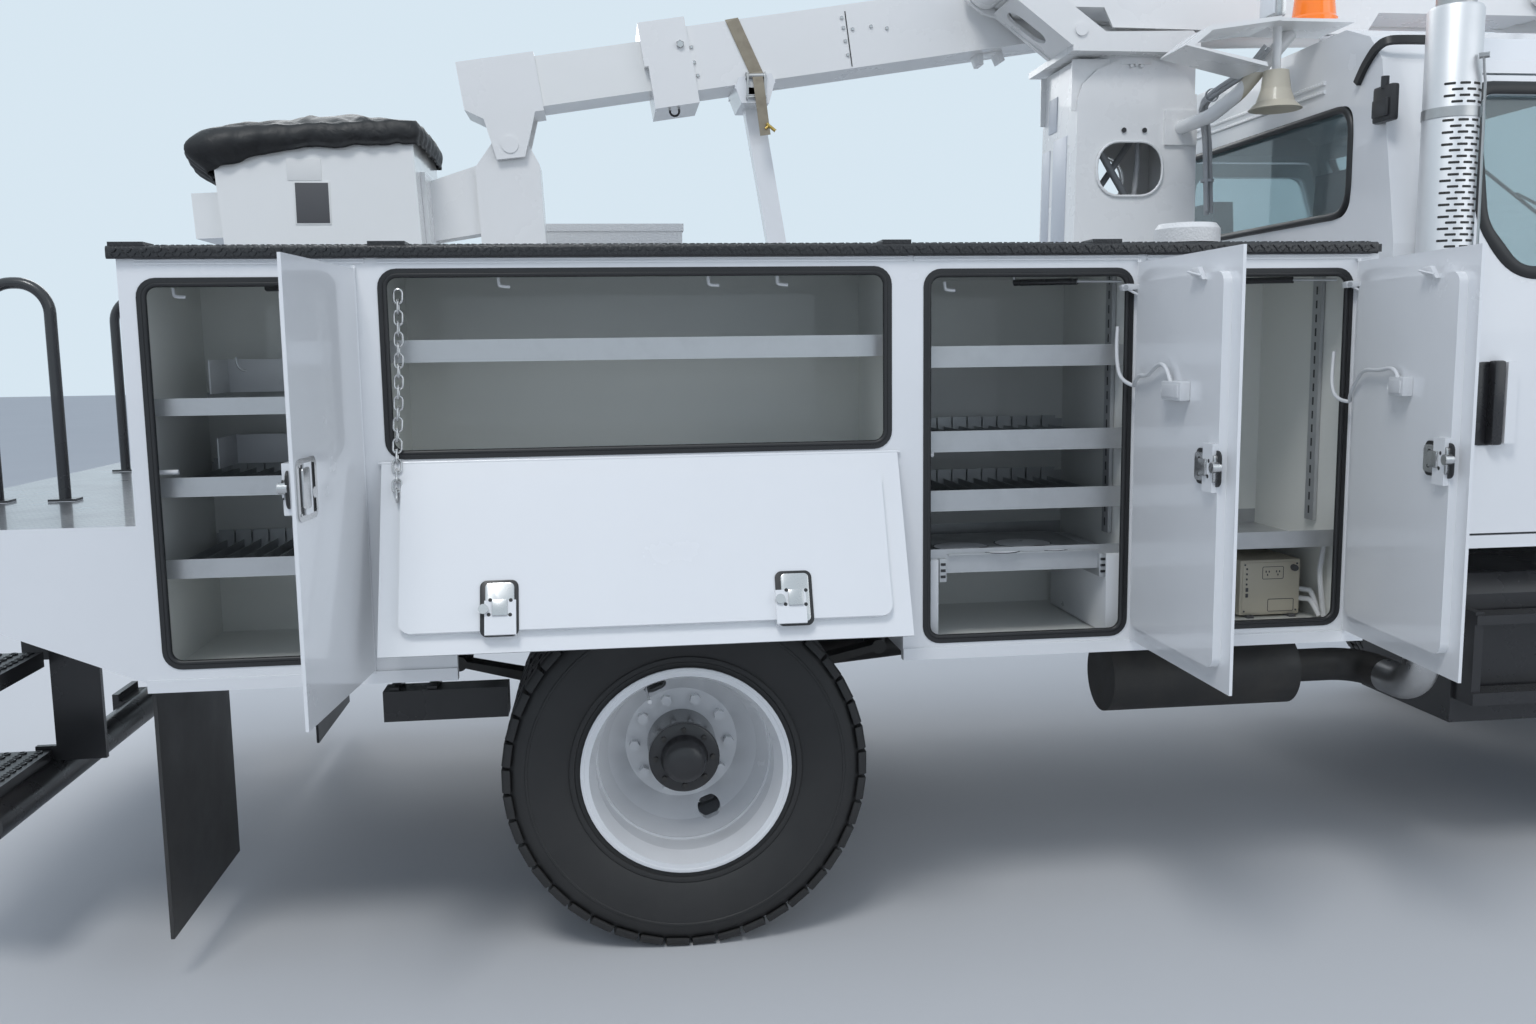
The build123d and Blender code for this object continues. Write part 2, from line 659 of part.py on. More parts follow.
def hingeLine(name, side):
    x0, x1, z0, z1 = doorSkins[name]
    level = side * (bodyHalf + doorGap + hingeOut)
    if name == "wide":
        return Axis((0, level, z0 - 4), (1, 0, 0))
    return Axis((x1 + 4, level, 0), (0, 0, 1))


def standOpen(leaf, name, side):
    return leaf.rotate(hingeLine(name, side), openAngles[name]) if side < 0 else leaf


def verticalDoor(name, side):
    x0, x1, z0, z1 = doorSkins[name]
    a0, a1, b0, b1 = openings[name]
    near = bodyHalf + doorGap
    skin = block(x0, x1, *sorted((side * near, side * (near + doorSkin))), z0, z1)
    pan = slab([(a0 + panInset, b0 + panInset), (a1 - panInset, b0 + panInset), (a1 - panInset, b1 - panInset),
                (a0 + panInset, b1 - panInset)], "Y", *sorted((side * (near - doorPan), side * (near + 1))), 30)
    leaf = skin + pan
    # paddle latch box through the skin
    latch = x0 + 78
    leaf += block(latch - 26, latch + 26, *sorted((side * (near - 36), side * (near + doorSkin + 6))), 1350, 1468)
    # hinge knuckle along the front edge
    leaf += rod((x1 + 4, side * (near + hingeOut), z0), (x1 + 4, side * (near + hingeOut), z1), lockerKnuckle)
    for low, high in ((z0 - 1, z0 + 42), (z1 - 42, z1 + 1)):
        leaf -= rod((x1 + 4, side * (near + hingeOut), low), (x1 + 4, side * (near + hingeOut), high), lockerPin + runningGap)
    return leaf


def wideDoor(side):
    x0, x1, z0, z1 = doorSkins["wide"]
    a0, a1, b0, b1 = openings["wide"]
    near = bodyHalf + doorGap
    skin = block(x0, x1, *sorted((side * near, side * (near + doorSkin))), z0, z1)
    pan = slab([(a0 + panInset, b0 + panInset), (a1 - panInset, b0 + panInset), (a1 - panInset, b1 - panInset),
                (a0 + panInset, b1 - panInset)], "Y", *sorted((side * (near - doorPan), side * (near + 1))), 30)
    leaf = skin + pan
    for x in (x0 + 310, x1 - 330):
        leaf += block(x - 40, x + 40, *sorted((side * (near - 36), side * (near + doorSkin + 6))), z1 - 130, z1 - 40)
    leaf += rod((x0, side * (near + hingeOut), z0 - 4), (x1, side * (near + hingeOut), z0 - 4), lockerKnuckle)
    for low, high in ((x0 - 1, x0 + 42), (x1 - 42, x1 + 1)):
        leaf -= rod((low, side * (near + hingeOut), z0 - 4), (high, side * (near + hingeOut), z0 - 4), lockerPin + runningGap)
    return leaf


shelfThick = 4
def lockerEars(name, side):
    # ears and pins on the body at both ends of a door's hinge
    x0, x1, z0, z1 = doorSkins[name]
    level = side * (bodyHalf + doorGap + hingeOut)
    wall = side * (bodyHalf - 1)
    across = sorted((wall, level))
    ears = []
    if name == "wide":
        z = z0 - 4
        for edge, way in ((x0, -1), (x1, 1)):
            ear = block(*sorted((edge + way * 0.5, edge + way * 9)), *across, z - 5, z + 5)
            ear += rod((edge + way * 9, level, z), (edge - way * 40, level, z), lockerPin)
            ears.append(ear)
    else:
        x = x1 + 4
        for edge, way in ((z0, -1), (z1, 1)):
            ear = block(x - 5, x + 5, *across, *sorted((edge + way * 0.5, edge + way * 9)))
            ear += rod((x, level, edge + way * 9), (x, level, edge - way * 40), lockerPin)
            ears.append(ear)
    return ears


# shelves on the open side: compartment, height of the top, lip height
shelfTable = [
    ("rear", 1600, 46), ("rear", 1390, 52), ("rear", 1170, 52),
    ("wide", 1745, 60),
    ("middle", 1710, 60), ("middle", 1470, 60), ("middle", 1300, 60), ("middle", 1130, 70),
    ("front", 1150, 50),
]


def shelves():
    side = -1
    out = []
    for name, z, lip in shelfTable:
        x0, x1, _, _ = compartments[name]
        y0 = side * (bodyHalf - 70)
        y1 = side * (bodyHalf - boxDepth + wallThick - 1)
        tray = block(x0 - 1, x1 + 1, *sorted((y0, y1)), z - lip, z - lip + shelfThick)
        tray += block(x0 - 1, x1 + 1, *sorted((y0, y0 + side * shelfThick)), z - lip, z)
        out.append(tray)
    return out


wellHalf = bodyHalf - boxDepth


def bodyDeck():
    deck = block(bodyRear, bodyFront, -wellHalf, wellHalf, deckTop - deckThick, deckTop)
    for x in (-1350, -750, 750, 1300, 1900):
        deck += block(x - 40, x + 40, -wellHalf, wellHalf, railTop, deckTop - deckThick)
    for side in (-1, 1):
        deck += block(bodyRear, bodyFront, *sorted((side * 350, side * railY)), railTop, deckTop - deckThick)
    # boom rest: leaning post and cradle
    post = slab([(restFoot - 35, deckTop), (restFoot + 35, deckTop), (restHead + 35, restTop - 50), (restHead - 35, restTop - 50)],
                "Y", boomMiddle - 32, boomMiddle + 32)
    slope = (boomUp[1] / boomUp[0])
    seat = [(restHead - 75, restTop - 75 * slope), (restHead + 75, restTop + 75 * slope), (restHead + 50, restTop - 75),
            (restHead - 50, restTop - 75)]
    cradle = slab(seat, "Y", boomSide[0] - 14, boomSide[1] + 14)
    for y0, y1 in ((boomSide[0] - 14, boomSide[0] - 4), (boomSide[1] + 4, boomSide[1] + 14)):
        cradle += slab([(restHead - 75, restTop - 25), (restHead + 75, restTop - 5), (restHead + 60, restTop + 30),
                        (restHead - 60, restTop + 14)], "Y", y0, y1)
    deck += post
    deck += cradle
    return deck


def tailShelf():
    side = [(bodyRear, tailTop), (tailRear, tailTop), (tailRear, tailLip), (-1808, 1011), (bodyRear, 851)]
    shelf = block(tailRear, bodyRear, -bodyHalf, bodyHalf, tailTop - tailPanel, tailTop)
    for edge in (-1, 1):
        shelf += slab(side, "Y", *sorted((edge * bodyHalf, edge * (bodyHalf - tailPanel))))
    shelf += block(tailRear, tailRear + tailPanel, -bodyHalf, bodyHalf, tailLip, tailTop)
    for edge in (-1, 1):
        shelf += block(railRear + 20, bodyRear, *sorted((edge * 360, edge * railY)), railTop, tailTop - tailPanel + 1)
    return shelf


handleRadius = 17.5
stepFront = -1870
stepRear = -2150


def tailSteps():
    bar = rod((-1875, -1200, 470), (-1875, 1200, 470), 50)
    bar += block(-1925, -1875, -100, 100, 425, 515)
    plate = block(-1945, -1924, -95, 95, 400, 540)
    for y in (-hitchWide / 2, hitchWide / 2):
        for z in (470 - hitchHigh / 2, 470 + hitchHigh / 2):
            plate -= rod((-1950, y, z), (-1925, y, z), hitchHole)
    bar += plate
    for side in (-1, 1):
        bar += block(-1860, -1720, *sorted((side * 742, side * 760)), 515, tailTop - tailPanel - seatGap)
        bar += block(-1920, -1830, *sorted((side * 742, side * 760)), 515, 560)
        y0, y1 = sorted((side * 770, side * 1200))
        for z in (550, 850):
            bar += block(stepRear, stepFront, y0, y1, z - 45, z)
        for y in (780, 1140):
            bar += block(stepRear - 20, stepRear + 20, *sorted((side * y, side * (y + 40))), 505, tailTop - tailPanel - seatGap)
    return bar


def grabHandles():
    out = []
    for side in (-1, 1):
        y = side * 530
        foot = tailTop - 1
        hoop = tube([(-2065, y, foot), (-2065, y, 1938), (-1869, y, 1938), (-1869, y, foot)], handleRadius, 92)
        for x in (-2065, -1869):
            hoop += block(x - 40, x + 40, y - 30, y + 30, foot, foot + 9)
        out.append(hoop)
    return out


def mudFlaps():
    out = []
    for side in (-1, 1):
        y0, y1 = sorted((side * (bodyHalf - 644), side * (bodyHalf - 14)))
        out.append(block(bodyRear + 4, bodyRear + 14, y0, y1, 130, bodyBottom - seatGap))
    return apart(out)


def warningLamps():
    out = []
    for side in (-1, 1):
        for y in (760, 1010):
            out.append(rod((tailRear - seatGap, side * y, 1234), (tailRear - 22, side * y, 1234), 32))
    return apart(out)


# boom


def turret():
    half = turretLong / 2
    wide = turretWide / 2
    post = slab([(turretX - half, deckTop), (turretX + half, deckTop), (turretX + half - 8, turretTop),
                 (turretX - half + 30, turretTop)], "Y", -wide, wide)
    post &= slab([(-wide, deckTop), (wide, deckTop), (wide - 20, turretTop), (-wide + 20, turretTop)], "X",
                 turretX - 400, turretX + 400)
    core = block(turretX - half + 30, turretX + half - 30, -wide + 30, wide - 30, deckTop + 30, turretTop - 20)
    post -= core
    hole = slab([(x, z) for x, z in ((turretX - 144, 2237), (turretX + 108, 2237), (turretX + 108, 2434), (turretX - 144, 2434))],
                "Y", -wide - 10, wide + 10, 85)
    post -= hole
    # corners over the arched outer plates, cut back on both sides
    corners = [[(turretX - half - 30, 2560), (turretX - half + 22, 2560), (turretX - 195, 2630), (turretX - 140, 2682), (turretX - 70, 2712),
                (turretX - 40, turretTop + 5), (turretX - half - 30, turretTop + 5)],
               [(turretX + half + 30, 2600), (turretX + half - 14, 2600), (turretX + 200, 2655), (turretX + 140, 2696), (turretX + 70, 2715),
                (turretX + 40, turretTop + 5), (turretX + half + 30, turretTop + 5)]]
    for corner in corners:
        for side in (-1, 1):
            post -= slab(corner, "Y", *sorted((side * (wide + 10), side * (wide - 34))))
    post += block(turretX - 330, turretX + 230, -290, 290, deckTop, deckTop + 25)
    post += rod((turretX, 0, turretTop - 20), (turretX, 0, turretTop + 4), 190)
    return post


slewZ = turretTop + 4
slewRear = turretX - 257
slewFront = turretX + 210
leanAngle = 35.4
earSpan = (-250, -225, -17, 8)
up = (-cos(radians(leanAngle)), sin(radians(leanAngle)))
off = (sin(radians(leanAngle)), cos(radians(leanAngle)))
riserHalf = 52
liftFoot = (armPivot[0] + 273, armPivot[1] - 190)
liftEye = (armPivot[0] + 1293, armPivot[1] - 162)
barrelRadius = 42
rodRadius = 26
linkHold = 150
linkSide = (16, 36)
linkPin = 18
elbowPin = (armPivot[0] + armReach, armPivot[1])
boomPin = (elbowPin[0], elbowPin[1] + elbowRise)


def onRiser(s, t):
    return (armPivot[0] - up[0] * s + off[0] * t, armPivot[1] - up[1] * s + off[1] * t)


def turntable():
    top = slewZ + 5 + slewPlate
    plate = block(slewRear, slewFront, -250, 230, slewZ + 5, top)
    plate += rod((turretX, 0, slewZ + 0.5), (turretX, 0, slewZ + 8), 190)
    outline = [onRiser(-70, 40), onRiser(-40, 72), onRiser(40, 72), onRiser(90, riserHalf), onRiser(410, riserHalf), (slewFront - 30, top + 52),
               (slewFront, top + 30), (slewFront, top - 2), (slewRear - 5, top - 2), onRiser(90, -riserHalf), onRiser(40, -72), onRiser(-40, -72),
               onRiser(-70, -40)]
    for y0, y1 in (earSpan[:2], earSpan[2:]):
        cheek = slab(outline, "Y", y0, y1)
        plate += cheek
    # closed underside with a long hand hole
    floor = slab([onRiser(72, -riserHalf), onRiser(365, -riserHalf), onRiser(365, -riserHalf + 12), onRiser(72, -riserHalf + 12)],
                 "Y", earSpan[0], earSpan[3])
    lean = Plane(origin=(armPivot[0], -100, armPivot[1]), x_dir=(-up[0], 0, -up[1]), z_dir=(-off[0], 0, -off[1]))
    floor -= extrude(lean.offset(riserHalf - 20) * Pos(190, 0) * SlotOverall(170, 90), 30)
    plate += floor
    px, pz = armPivot
    plate += rod((px, earSpan[0] - 12, pz), (px, earSpan[3], pz), pinRadius)
    plate += rod((px, earSpan[0] - 14, pz), (px, earSpan[0], pz), pinRadius + 22)
    plate += rod((liftFoot[0], earSpan[0] - 8, liftFoot[1]), (liftFoot[0], earSpan[3], liftFoot[1]), 22)
    lx, lz = onRiser(linkHold, 0)
    plate += rod((lx, earSpan[3] - 1, lz), (lx, linkSide[1] + 3, lz), linkPin)
    return plate


def lowerArm():
    px, pz = armPivot
    qx, qz = elbowPin
    half = armDeep / 2
    beam = slab([(px - 40, pz - 15), (px - 20, pz - 28), (px + 90, pz - half), (qx - 60, qz - half), (qx + 55, qz - half + 50),
                 (qx + 55, qz + half - 50), (qx - 60, qz + half), (px + 60, pz + half), (px - 40, pz + half - 40)],
                "Y", *armSide)
    beam -= block(px + 160, qx - 160, armSide[0] + boomWall, armSide[1] - boomWall, pz - half + boomWall, pz + half - boomWall)
    ex, ez = liftEye
    beam += slab([(liftFoot[0] + 95, pz - half + 2), (ex + 110, pz - half + 2), (ex + 60, ez - 20), (liftFoot[0] + 130, ez - 10)],
                 "Y", armSide[0], armSide[0] + 12)
    for y0, y1 in ((armSide[0], armSide[0] + 30), (armSide[1] - 30, armSide[1])):
        lug = slab([(ex - 70, pz - half + 2), (ex + 70, pz - half + 2), (ex + 34, ez - 34), (ex - 34, ez - 34)], "Y", y0, y1)
        beam += lug - rod((ex, y0 - 1, ez), (ex, y1 + 1, ez), 20)
    for x, z, boss in ((px, pz, 70), (qx, qz, 88)):
        beam += rod((x, armSide[0], z), (x, armSide[1], z), boss)
    for x, z in (armPivot, elbowPin):
        beam -= rod((x, armSide[0] - 1, z), (x, armSide[1] + 1, z), pinRadius + runningGap)
    return beam


def levellingLink():
    lx, lz = onRiser(linkHold, 0)
    bar = block(lx, lx + armReach, linkSide[0] + 2, linkSide[1] - 2, lz - 16, lz + 16)
    for x in (lx, lx + armReach):
        bar += rod((x, linkSide[0], lz), (x, linkSide[1], lz), 34)
        bar -= rod((x, linkSide[0] - 1, lz), (x, linkSide[1] + 1, lz), linkPin + runningGap)
    return bar


def cylinder(foot, eye, middle, wide, footPin, barrelLong):
    # barrel and rod of a lift cylinder in the plane y = middle
    span = hypot(eye[0] - foot[0], eye[1] - foot[1])
    way = ((eye[0] - foot[0]) / span, (eye[1] - foot[1]) / span)

    def at(s):
        return (foot[0] + way[0] * s, middle, foot[1] + way[1] * s)

    barrel = rod(at(30), at(barrelLong), barrelRadius)
    barrel += rod((foot[0], middle - wide, foot[1]), (foot[0], middle + wide, foot[1]), footPin + 16)
    barrel -= rod((foot[0], middle - wide - 1, foot[1]), (foot[0], middle + wide + 1, foot[1]), footPin + runningGap)
    barrel -= rod(at(90), at(barrelLong + 1), rodRadius + runningGap)
    ram = rod(at(110), at(span - 10), rodRadius)
    ram += rod((eye[0], middle - wide, eye[1]), (eye[0], middle + wide, eye[1]), 32)
    ram -= rod((eye[0], middle - wide - 1, eye[1]), (eye[0], middle + wide + 1, eye[1]), 18)
    return barrel, ram


raiseFoot = (boomPin[0] - 115, boomPin[1] - 260)
boomMiddle = (boomSide[0] + boomSide[1]) / 2


def elbow():
    qx, qz = elbowPin
    bx, bz = boomPin
    lx, lz = onRiser(linkHold, 0)
    hold = (lx + armReach, lz)
    plate = slab([(qx - 170, qz - 95), (hold[0] + 45, hold[1] - 60), (hold[0] + 45, qz + 60), (bx + 120, bz + 40), (bx + 60, bz + 110),
                  (bx - 60, bz + 110), (bx - 120, bz)], "Y", earSpan[2], earSpan[3])
    near = slab([(qx - 105, qz - 60), (qx - 40, qz - 105), (qx + 165, qz - 105), (qx + 165, qz + 125), (qx - 40, qz + 125), (qx - 105, qz + 60)],
                "Y", *earSpan[:2])
    spine = block(qx + 125, qx + 165, earSpan[0], earSpan[3], qz - 105, qz + 125)
    body = plate + near + spine
    body += rod((qx, earSpan[0] - 12, qz), (qx, earSpan[3], qz), pinRadius)
    body += rod((bx, earSpan[2] + 1, bz), (bx, boomSide[1] + 20, bz), pinRadius)
    body += rod((bx, earSpan[3] - 1, bz), (bx, boomSide[0] - 3, bz), pinRadius + 25)
    body += rod((bx, boomSide[1] + 5, bz), (bx, boomSide[1] + 20, bz), pinRadius + 20)
    body += rod((hold[0], earSpan[3] - 1, hold[1]), (hold[0], linkSide[1] + 3, hold[1]), linkPin)
    fx, fz = raiseFoot
    body += rod((fx, earSpan[2] + 1, fz), (fx, boomMiddle + 60, fz), 22)
    body += rod((fx, earSpan[3] - 1, fz), (fx, boomMiddle - 48, fz), 34)
    return body


boomUp = (-cos(radians(boomDrop)), -sin(radians(boomDrop)))
boomOff = (-sin(radians(boomDrop)), cos(radians(boomDrop)))
outerLong = 3230
innerShow = 366
tipLong = 275


def onBoom(s, t):
    return (boomPin[0] + boomUp[0] * s + boomOff[0] * t, boomPin[1] + boomUp[1] * s + boomOff[1] * t)


def boomBar(s0, s1, half, side):
    return slab([onBoom(s0, -half), onBoom(s1, -half), onBoom(s1, half), onBoom(s0, half)], "Y", *side)


raiseReach = 1330
raiseEye = onBoom(raiseReach, -boomDeep / 2 - 50)
restHead = boomPin[0] + boomUp[0] * (outerLong - 264)
restFoot = restHead + 255
restTop = boomPin[1] - (boomPin[0] - restHead) * boomUp[1] / boomUp[0] - boomDeep / 2 / -boomUp[0] - seatGap


def upperBoom():
    half = boomDeep / 2
    bar = boomBar(-75, outerLong, half, boomSide)
    bore = (boomSide[0] + 14, boomSide[1] - 14)
    bar -= boomBar(140, outerLong + 10, half - 18, bore)
    # end collar in two blocks
    for s0, s1, t0, t1 in ((outerLong - 30, outerLong + 138, -10, half + 30), (outerLong - 36, outerLong + 124, -half - 46, 10)):
        ring = slab([onBoom(s0, t0), onBoom(s1, t0), onBoom(s1, t1), onBoom(s0, t1)], "Y", boomSide[0] - 22, boomSide[1] + 22)
        bar += ring
    bar -= boomBar(outerLong - 100, outerLong + 160, innerDeep / 2 + seatGap, (innerSide[0] - seatGap, innerSide[1] + seatGap))
    for y0, y1 in ((boomMiddle - 75, boomMiddle - 45), (boomMiddle + 45, boomMiddle + 75)):
        lug = slab([onBoom(raiseReach - 70, -half + 2), onBoom(raiseReach + 70, -half + 2), onBoom(raiseReach + 34, -half - 84),
                    onBoom(raiseReach - 34, -half - 84)], "Y", y0, y1)
        bar += lug - rod((raiseEye[0], y0 - 1, raiseEye[1]), (raiseEye[0], y1 + 1, raiseEye[1]), 20)
    bar -= rod((boomPin[0], boomSide[0] - 1, boomPin[1]), (boomPin[0], boomSide[1] + 1, boomPin[1]), pinRadius + runningGap)
    return bar


tipStart = outerLong + 150 + innerShow


def boomExtension():
    bar = boomBar(240, tipStart + 60, innerDeep / 2, innerSide)
    # wear pad at the inner end
    bar += boomBar(250, 350, boomDeep / 2 - 18 - seatGap, (boomSide[0] + 14 + seatGap, boomSide[1] - 14 - seatGap))
    return bar


levelPin = onBoom(tipStart + 140, -203)
levelRadius = 30


def boomTip():
    s0, s1 = tipStart, tipStart + tipLong
    low = -innerDeep / 2 - 16
    head = slab([onBoom(s0, innerDeep / 2 + 14), onBoom(s1, innerDeep / 2 + 14), onBoom(s1, low + 40),
                 onBoom(s1 - 60, low), onBoom(s0, low)], "Y", innerSide[0] - 12, innerSide[1] + 12)
    for y0, y1 in ((innerSide[0] - 12, innerSide[0] + 8), (innerSide[1] - 8, innerSide[1] + 12)):
        head += slab([onBoom(s0 + 30, low + 5), onBoom(s1 - 60, low + 5), onBoom(s0 + 195, -248), onBoom(s0 + 95, -252)], "Y", y0, y1)
    head -= boomBar(s0 - 10, s0 + 60 + seatGap, innerDeep / 2 + seatGap, (innerSide[0] - seatGap, innerSide[1] + seatGap))
    x, z = levelPin
    head += rod((x, innerSide[0] - 16, z), (x, innerSide[1] + 16, z), levelRadius)
    return head


platformTilt = -2.6
bucketX = (levelPin[0] - 965, levelPin[0] - 310)
bucketHalf = 305
bucketTop = levelPin[1] + 56
bucketDeep = 1060
bucketWall = 10
bucketY = (boomMiddle - bucketHalf, boomMiddle + bucketHalf)


def platformBracket():
    x, z = levelPin
    y0, y1 = innerSide[0] + 14, innerSide[1] - 14
    body = slab([(x - 50, z + 30), (x + 50, z + 30), (x + 98, z - 70), (x + 98, z - 520), (x - 130, z - 520), (x - 130, z - 70)], "Y", y0, y1, 25)
    body += rod((x, y0, z), (x, y1, z), 52)
    body += slab([(x - 120, z - 60), (bucketX[1] + 14, z - 110), (bucketX[1] + 14, z - 320), (x - 120, z - 300)], "Y", y0 + 20, y1 - 20)
    body += block(bucketX[1] + seatGap, bucketX[1] + 16, boomMiddle - 190, boomMiddle + 190, z - 340, z - 95)
    body -= rod((x, y0 - 1, z), (x, y1 + 1, z), levelRadius + runningGap)
    return body


def bucket():
    x0, x1 = bucketX
    y0, y1 = bucketY
    low = bucketTop - bucketDeep
    outer = slab([(x0 + 25, low), (x1 - 25, low), (x1, bucketTop - 400), (x1, bucketTop), (x0, bucketTop)], "Y", y0, y1)
    inner = slab([(x0 + 25 + bucketWall, low + bucketWall), (x1 - 25 - bucketWall, low + bucketWall),
                  (x1 - bucketWall, bucketTop - 400), (x1 - bucketWall, bucketTop + 1), (x0 + bucketWall, bucketTop + 1)],
                 "Y", y0 + bucketWall, y1 - bucketWall)
    tub = outer - inner
    tub += block(x0 - 90, x0 + 12, y0 + 40, y0 + 330, bucketTop - 350, bucketTop - 200)
    return tub


coverOut = 22


def bucketCover():
    x0, x1 = bucketX
    y0, y1 = bucketY
    top = bucketTop
    side = [(x0 - 105, top - 10), (x0 - 80, top + 55), (x0 + 40, top + 88), (x1 - 60, top + 88), (x1 + 12, top + 60),
            (x1 + 12, top - 20), (x0 - 20, top - 20), (x0 - 20, top - 110), (x0 - 50, top - 90)]
    cap = slab(side, "Y", y0 - coverOut, y1 + coverOut)
    ends = [(y0 - coverOut, top - 120), (y0 - coverOut, top + 55), (y0 + 50, top + 90), (y1 - 50, top + 90),
            (y1 + coverOut, top + 55), (y1 + coverOut, top - 120)]
    cap &= slab(ends, "X", x0 - 120, x1 + 30)
    cap -= block(x0 - seatGap, x1 + seatGap, y0 - seatGap, y1 + seatGap, top - 130, top + seatGap)
    return cap


# lamps on a bent arm from the turret's near side: where the arm leaves it, along and up
lampArm = (1880, 2480)
lampPlate = (1962, 2262, -640, -420, 2742)
bellX = 2038


def lampBracket():
    x, level = lampArm
    x0, x1, y0, y1, z = lampPlate
    def onSide(height, out):
        return (-turretWide / 2 + 20 * (height - deckTop) / (turretTop - deckTop) - seatGap - out, height)

    flange = [onSide(level - 60, 0), onSide(level + 60, 0), onSide(level + 60, 12), onSide(level - 60, 12)]
    post = tube([(x, onSide(level, 6)[0], level), (x, -420, level), (x + 60, -500, level + 60), (x + 236, -500, z - 4)], 24, 60)
    post += slab(flange, "X", x - 60, x + 60)
    post += block(x0, x1, y0, y1, z, z + 10)
    # guard pan behind the plate, open towards it
    pan = [(1662, 2650), (1742, 2712), (x0 + 20, z + 4), (x0 + 20, z - 10), (1750, 2698), (1690, 2650), (1936, 2602), (1940, 2588)]
    post += slab(pan, "Y", -690, -490)
    # hanging bell lamp
    bell = revolve(make_face(Polyline((0, 0, 4), (40, 0, 0), (48, 0, -60), (62, 0, -100), (86, 0, -124), (80, 0, -126), (54, 0, -98),
                                      (0, 0, -20), close=True)), Axis((0, 0, 0), (0, 0, 1)))
    post += Pos(bellX, -560, 2602) * bell
    post += rod((bellX, -560, 2590), (bellX, -560, z + 4), 14)
    return post


def beacon():
    x0, x1, y0, y1, z = lampPlate
    foot = z + 10 + seatGap
    dome = revolve(make_face(Polyline((0, 0, 0), (76, 0, 0), (76, 0, 22), (70, 0, 30), (62, 0, 105), (40, 0, 128), (0, 0, 132), close=True)),
                   Axis((0, 0, 0), (0, 0, 1)))
    return Pos(2180, -530, foot) * dome


nodes = {}


def put(name, shape):
    nodes[name] = shape


put("chassis_frame", chassisFrame())
put("rear_axle", rearAxle())
put("front_axle", frontAxle())
for word, side in (("left", 1), ("right", -1)):
    put("steering_knuckle_" + word, knuckle(side))
    rubber, metal = rearWheel(side)
    put("rear_tyres_" + word, rubber)
    put("rear_rims_" + word, metal)
    rubber, metal = frontWheel(side)
    put("front_tyre_" + word, rubber)
    put("front_rim_" + word, metal)
    put("cab_door_" + word, cabDoor(side))
    put("door_glass_" + word, doorGlass(side))
    box = bodyBox(side)
    for name in doorSkins:
        for ear in lockerEars(name, side):
            box += ear
    if side < 0:
        for tray in shelves():
            box += tray
    put("body_box_" + word, box)
    for name in ("rear", "middle", "front"):
        put("locker_door_" + name + "_" + word, standOpen(verticalDoor(name, side), name, side))
    put("locker_door_wide_" + word, standOpen(wideDoor(side), "wide", side))
put("engine_block", engineBlock())
put("cab_shell", cabShell())
put("fixed_glass", fixedGlass())
put("cab_interior", cabInterior())
put("hood", hood())
put("grille", grille())
put("headlamps", headlamps())
put("front_bumper", frontBumper())
put("side_tanks", sideTanks())
put("exhaust_stack", exhaustStack())
put("top_rails", topRails())
put("body_deck", bodyDeck())
tail = tailShelf()
for hoop in grabHandles():
    tail += hoop
put("tail_shelf", tail)
put("tail_steps", tailSteps())
put("mud_flaps", mudFlaps())
put("warning_lamps", warningLamps())
put("turret", turret())
put("turntable", turntable())
put("lower_arm", lowerArm())
put("levelling_link", levellingLink())
put("elbow", elbow())
barrel, ram = cylinder(liftFoot, liftEye, (armSide[0] + armSide[1]) / 2, 55, 22, 940)
put("lift_barrel", barrel)
put("lift_rod", ram)
barrel, ram = cylinder(raiseFoot, raiseEye, boomMiddle, 38, 22, 980)
put("raise_barrel", barrel)
put("raise_rod", ram)
platformPin = Axis((levelPin[0], 0, levelPin[1]), (0, 1, 0))
put("platform_bracket", platformBracket().rotate(platformPin, platformTilt))
put("lamp_bracket", lampBracket())
put("beacon", beacon())
put("upper_boom", upperBoom())
put("boom_extension", boomExtension())
put("boom_tip", boomTip())
put("bucket", bucket().rotate(platformPin, platformTilt))
put("bucket_cover", bucketCover().rotate(platformPin, platformTilt))

# the origin is the middle of the whole truck's box, on the road
boxes = [shape.bounding_box() for shape in nodes.values()]
middleX = (min(b.min.X for b in boxes) + max(b.max.X for b in boxes)) / 2
middleY = (min(b.min.Y for b in boxes) + max(b.max.Y for b in boxes)) / 2
lowest = min(b.min.Z for b in boxes)
shift = (-middleX, -middleY, -lowest)
nodes = {name: Pos(*shift) * shape for name, shape in nodes.items()}

if __name__ == "__main__":
    os.makedirs("parts", exist_ok=True)
    print("shift", [round(v, 3) for v in shift])
    for name, shape in nodes.items():
        export_step(shape, "parts/" + name + ".step")
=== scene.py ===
import json
from functools import reduce
from math import cos, hypot, pi, radians, sin, tau
import bmesh
import bpy
from mathutils import Matrix, Vector, noise


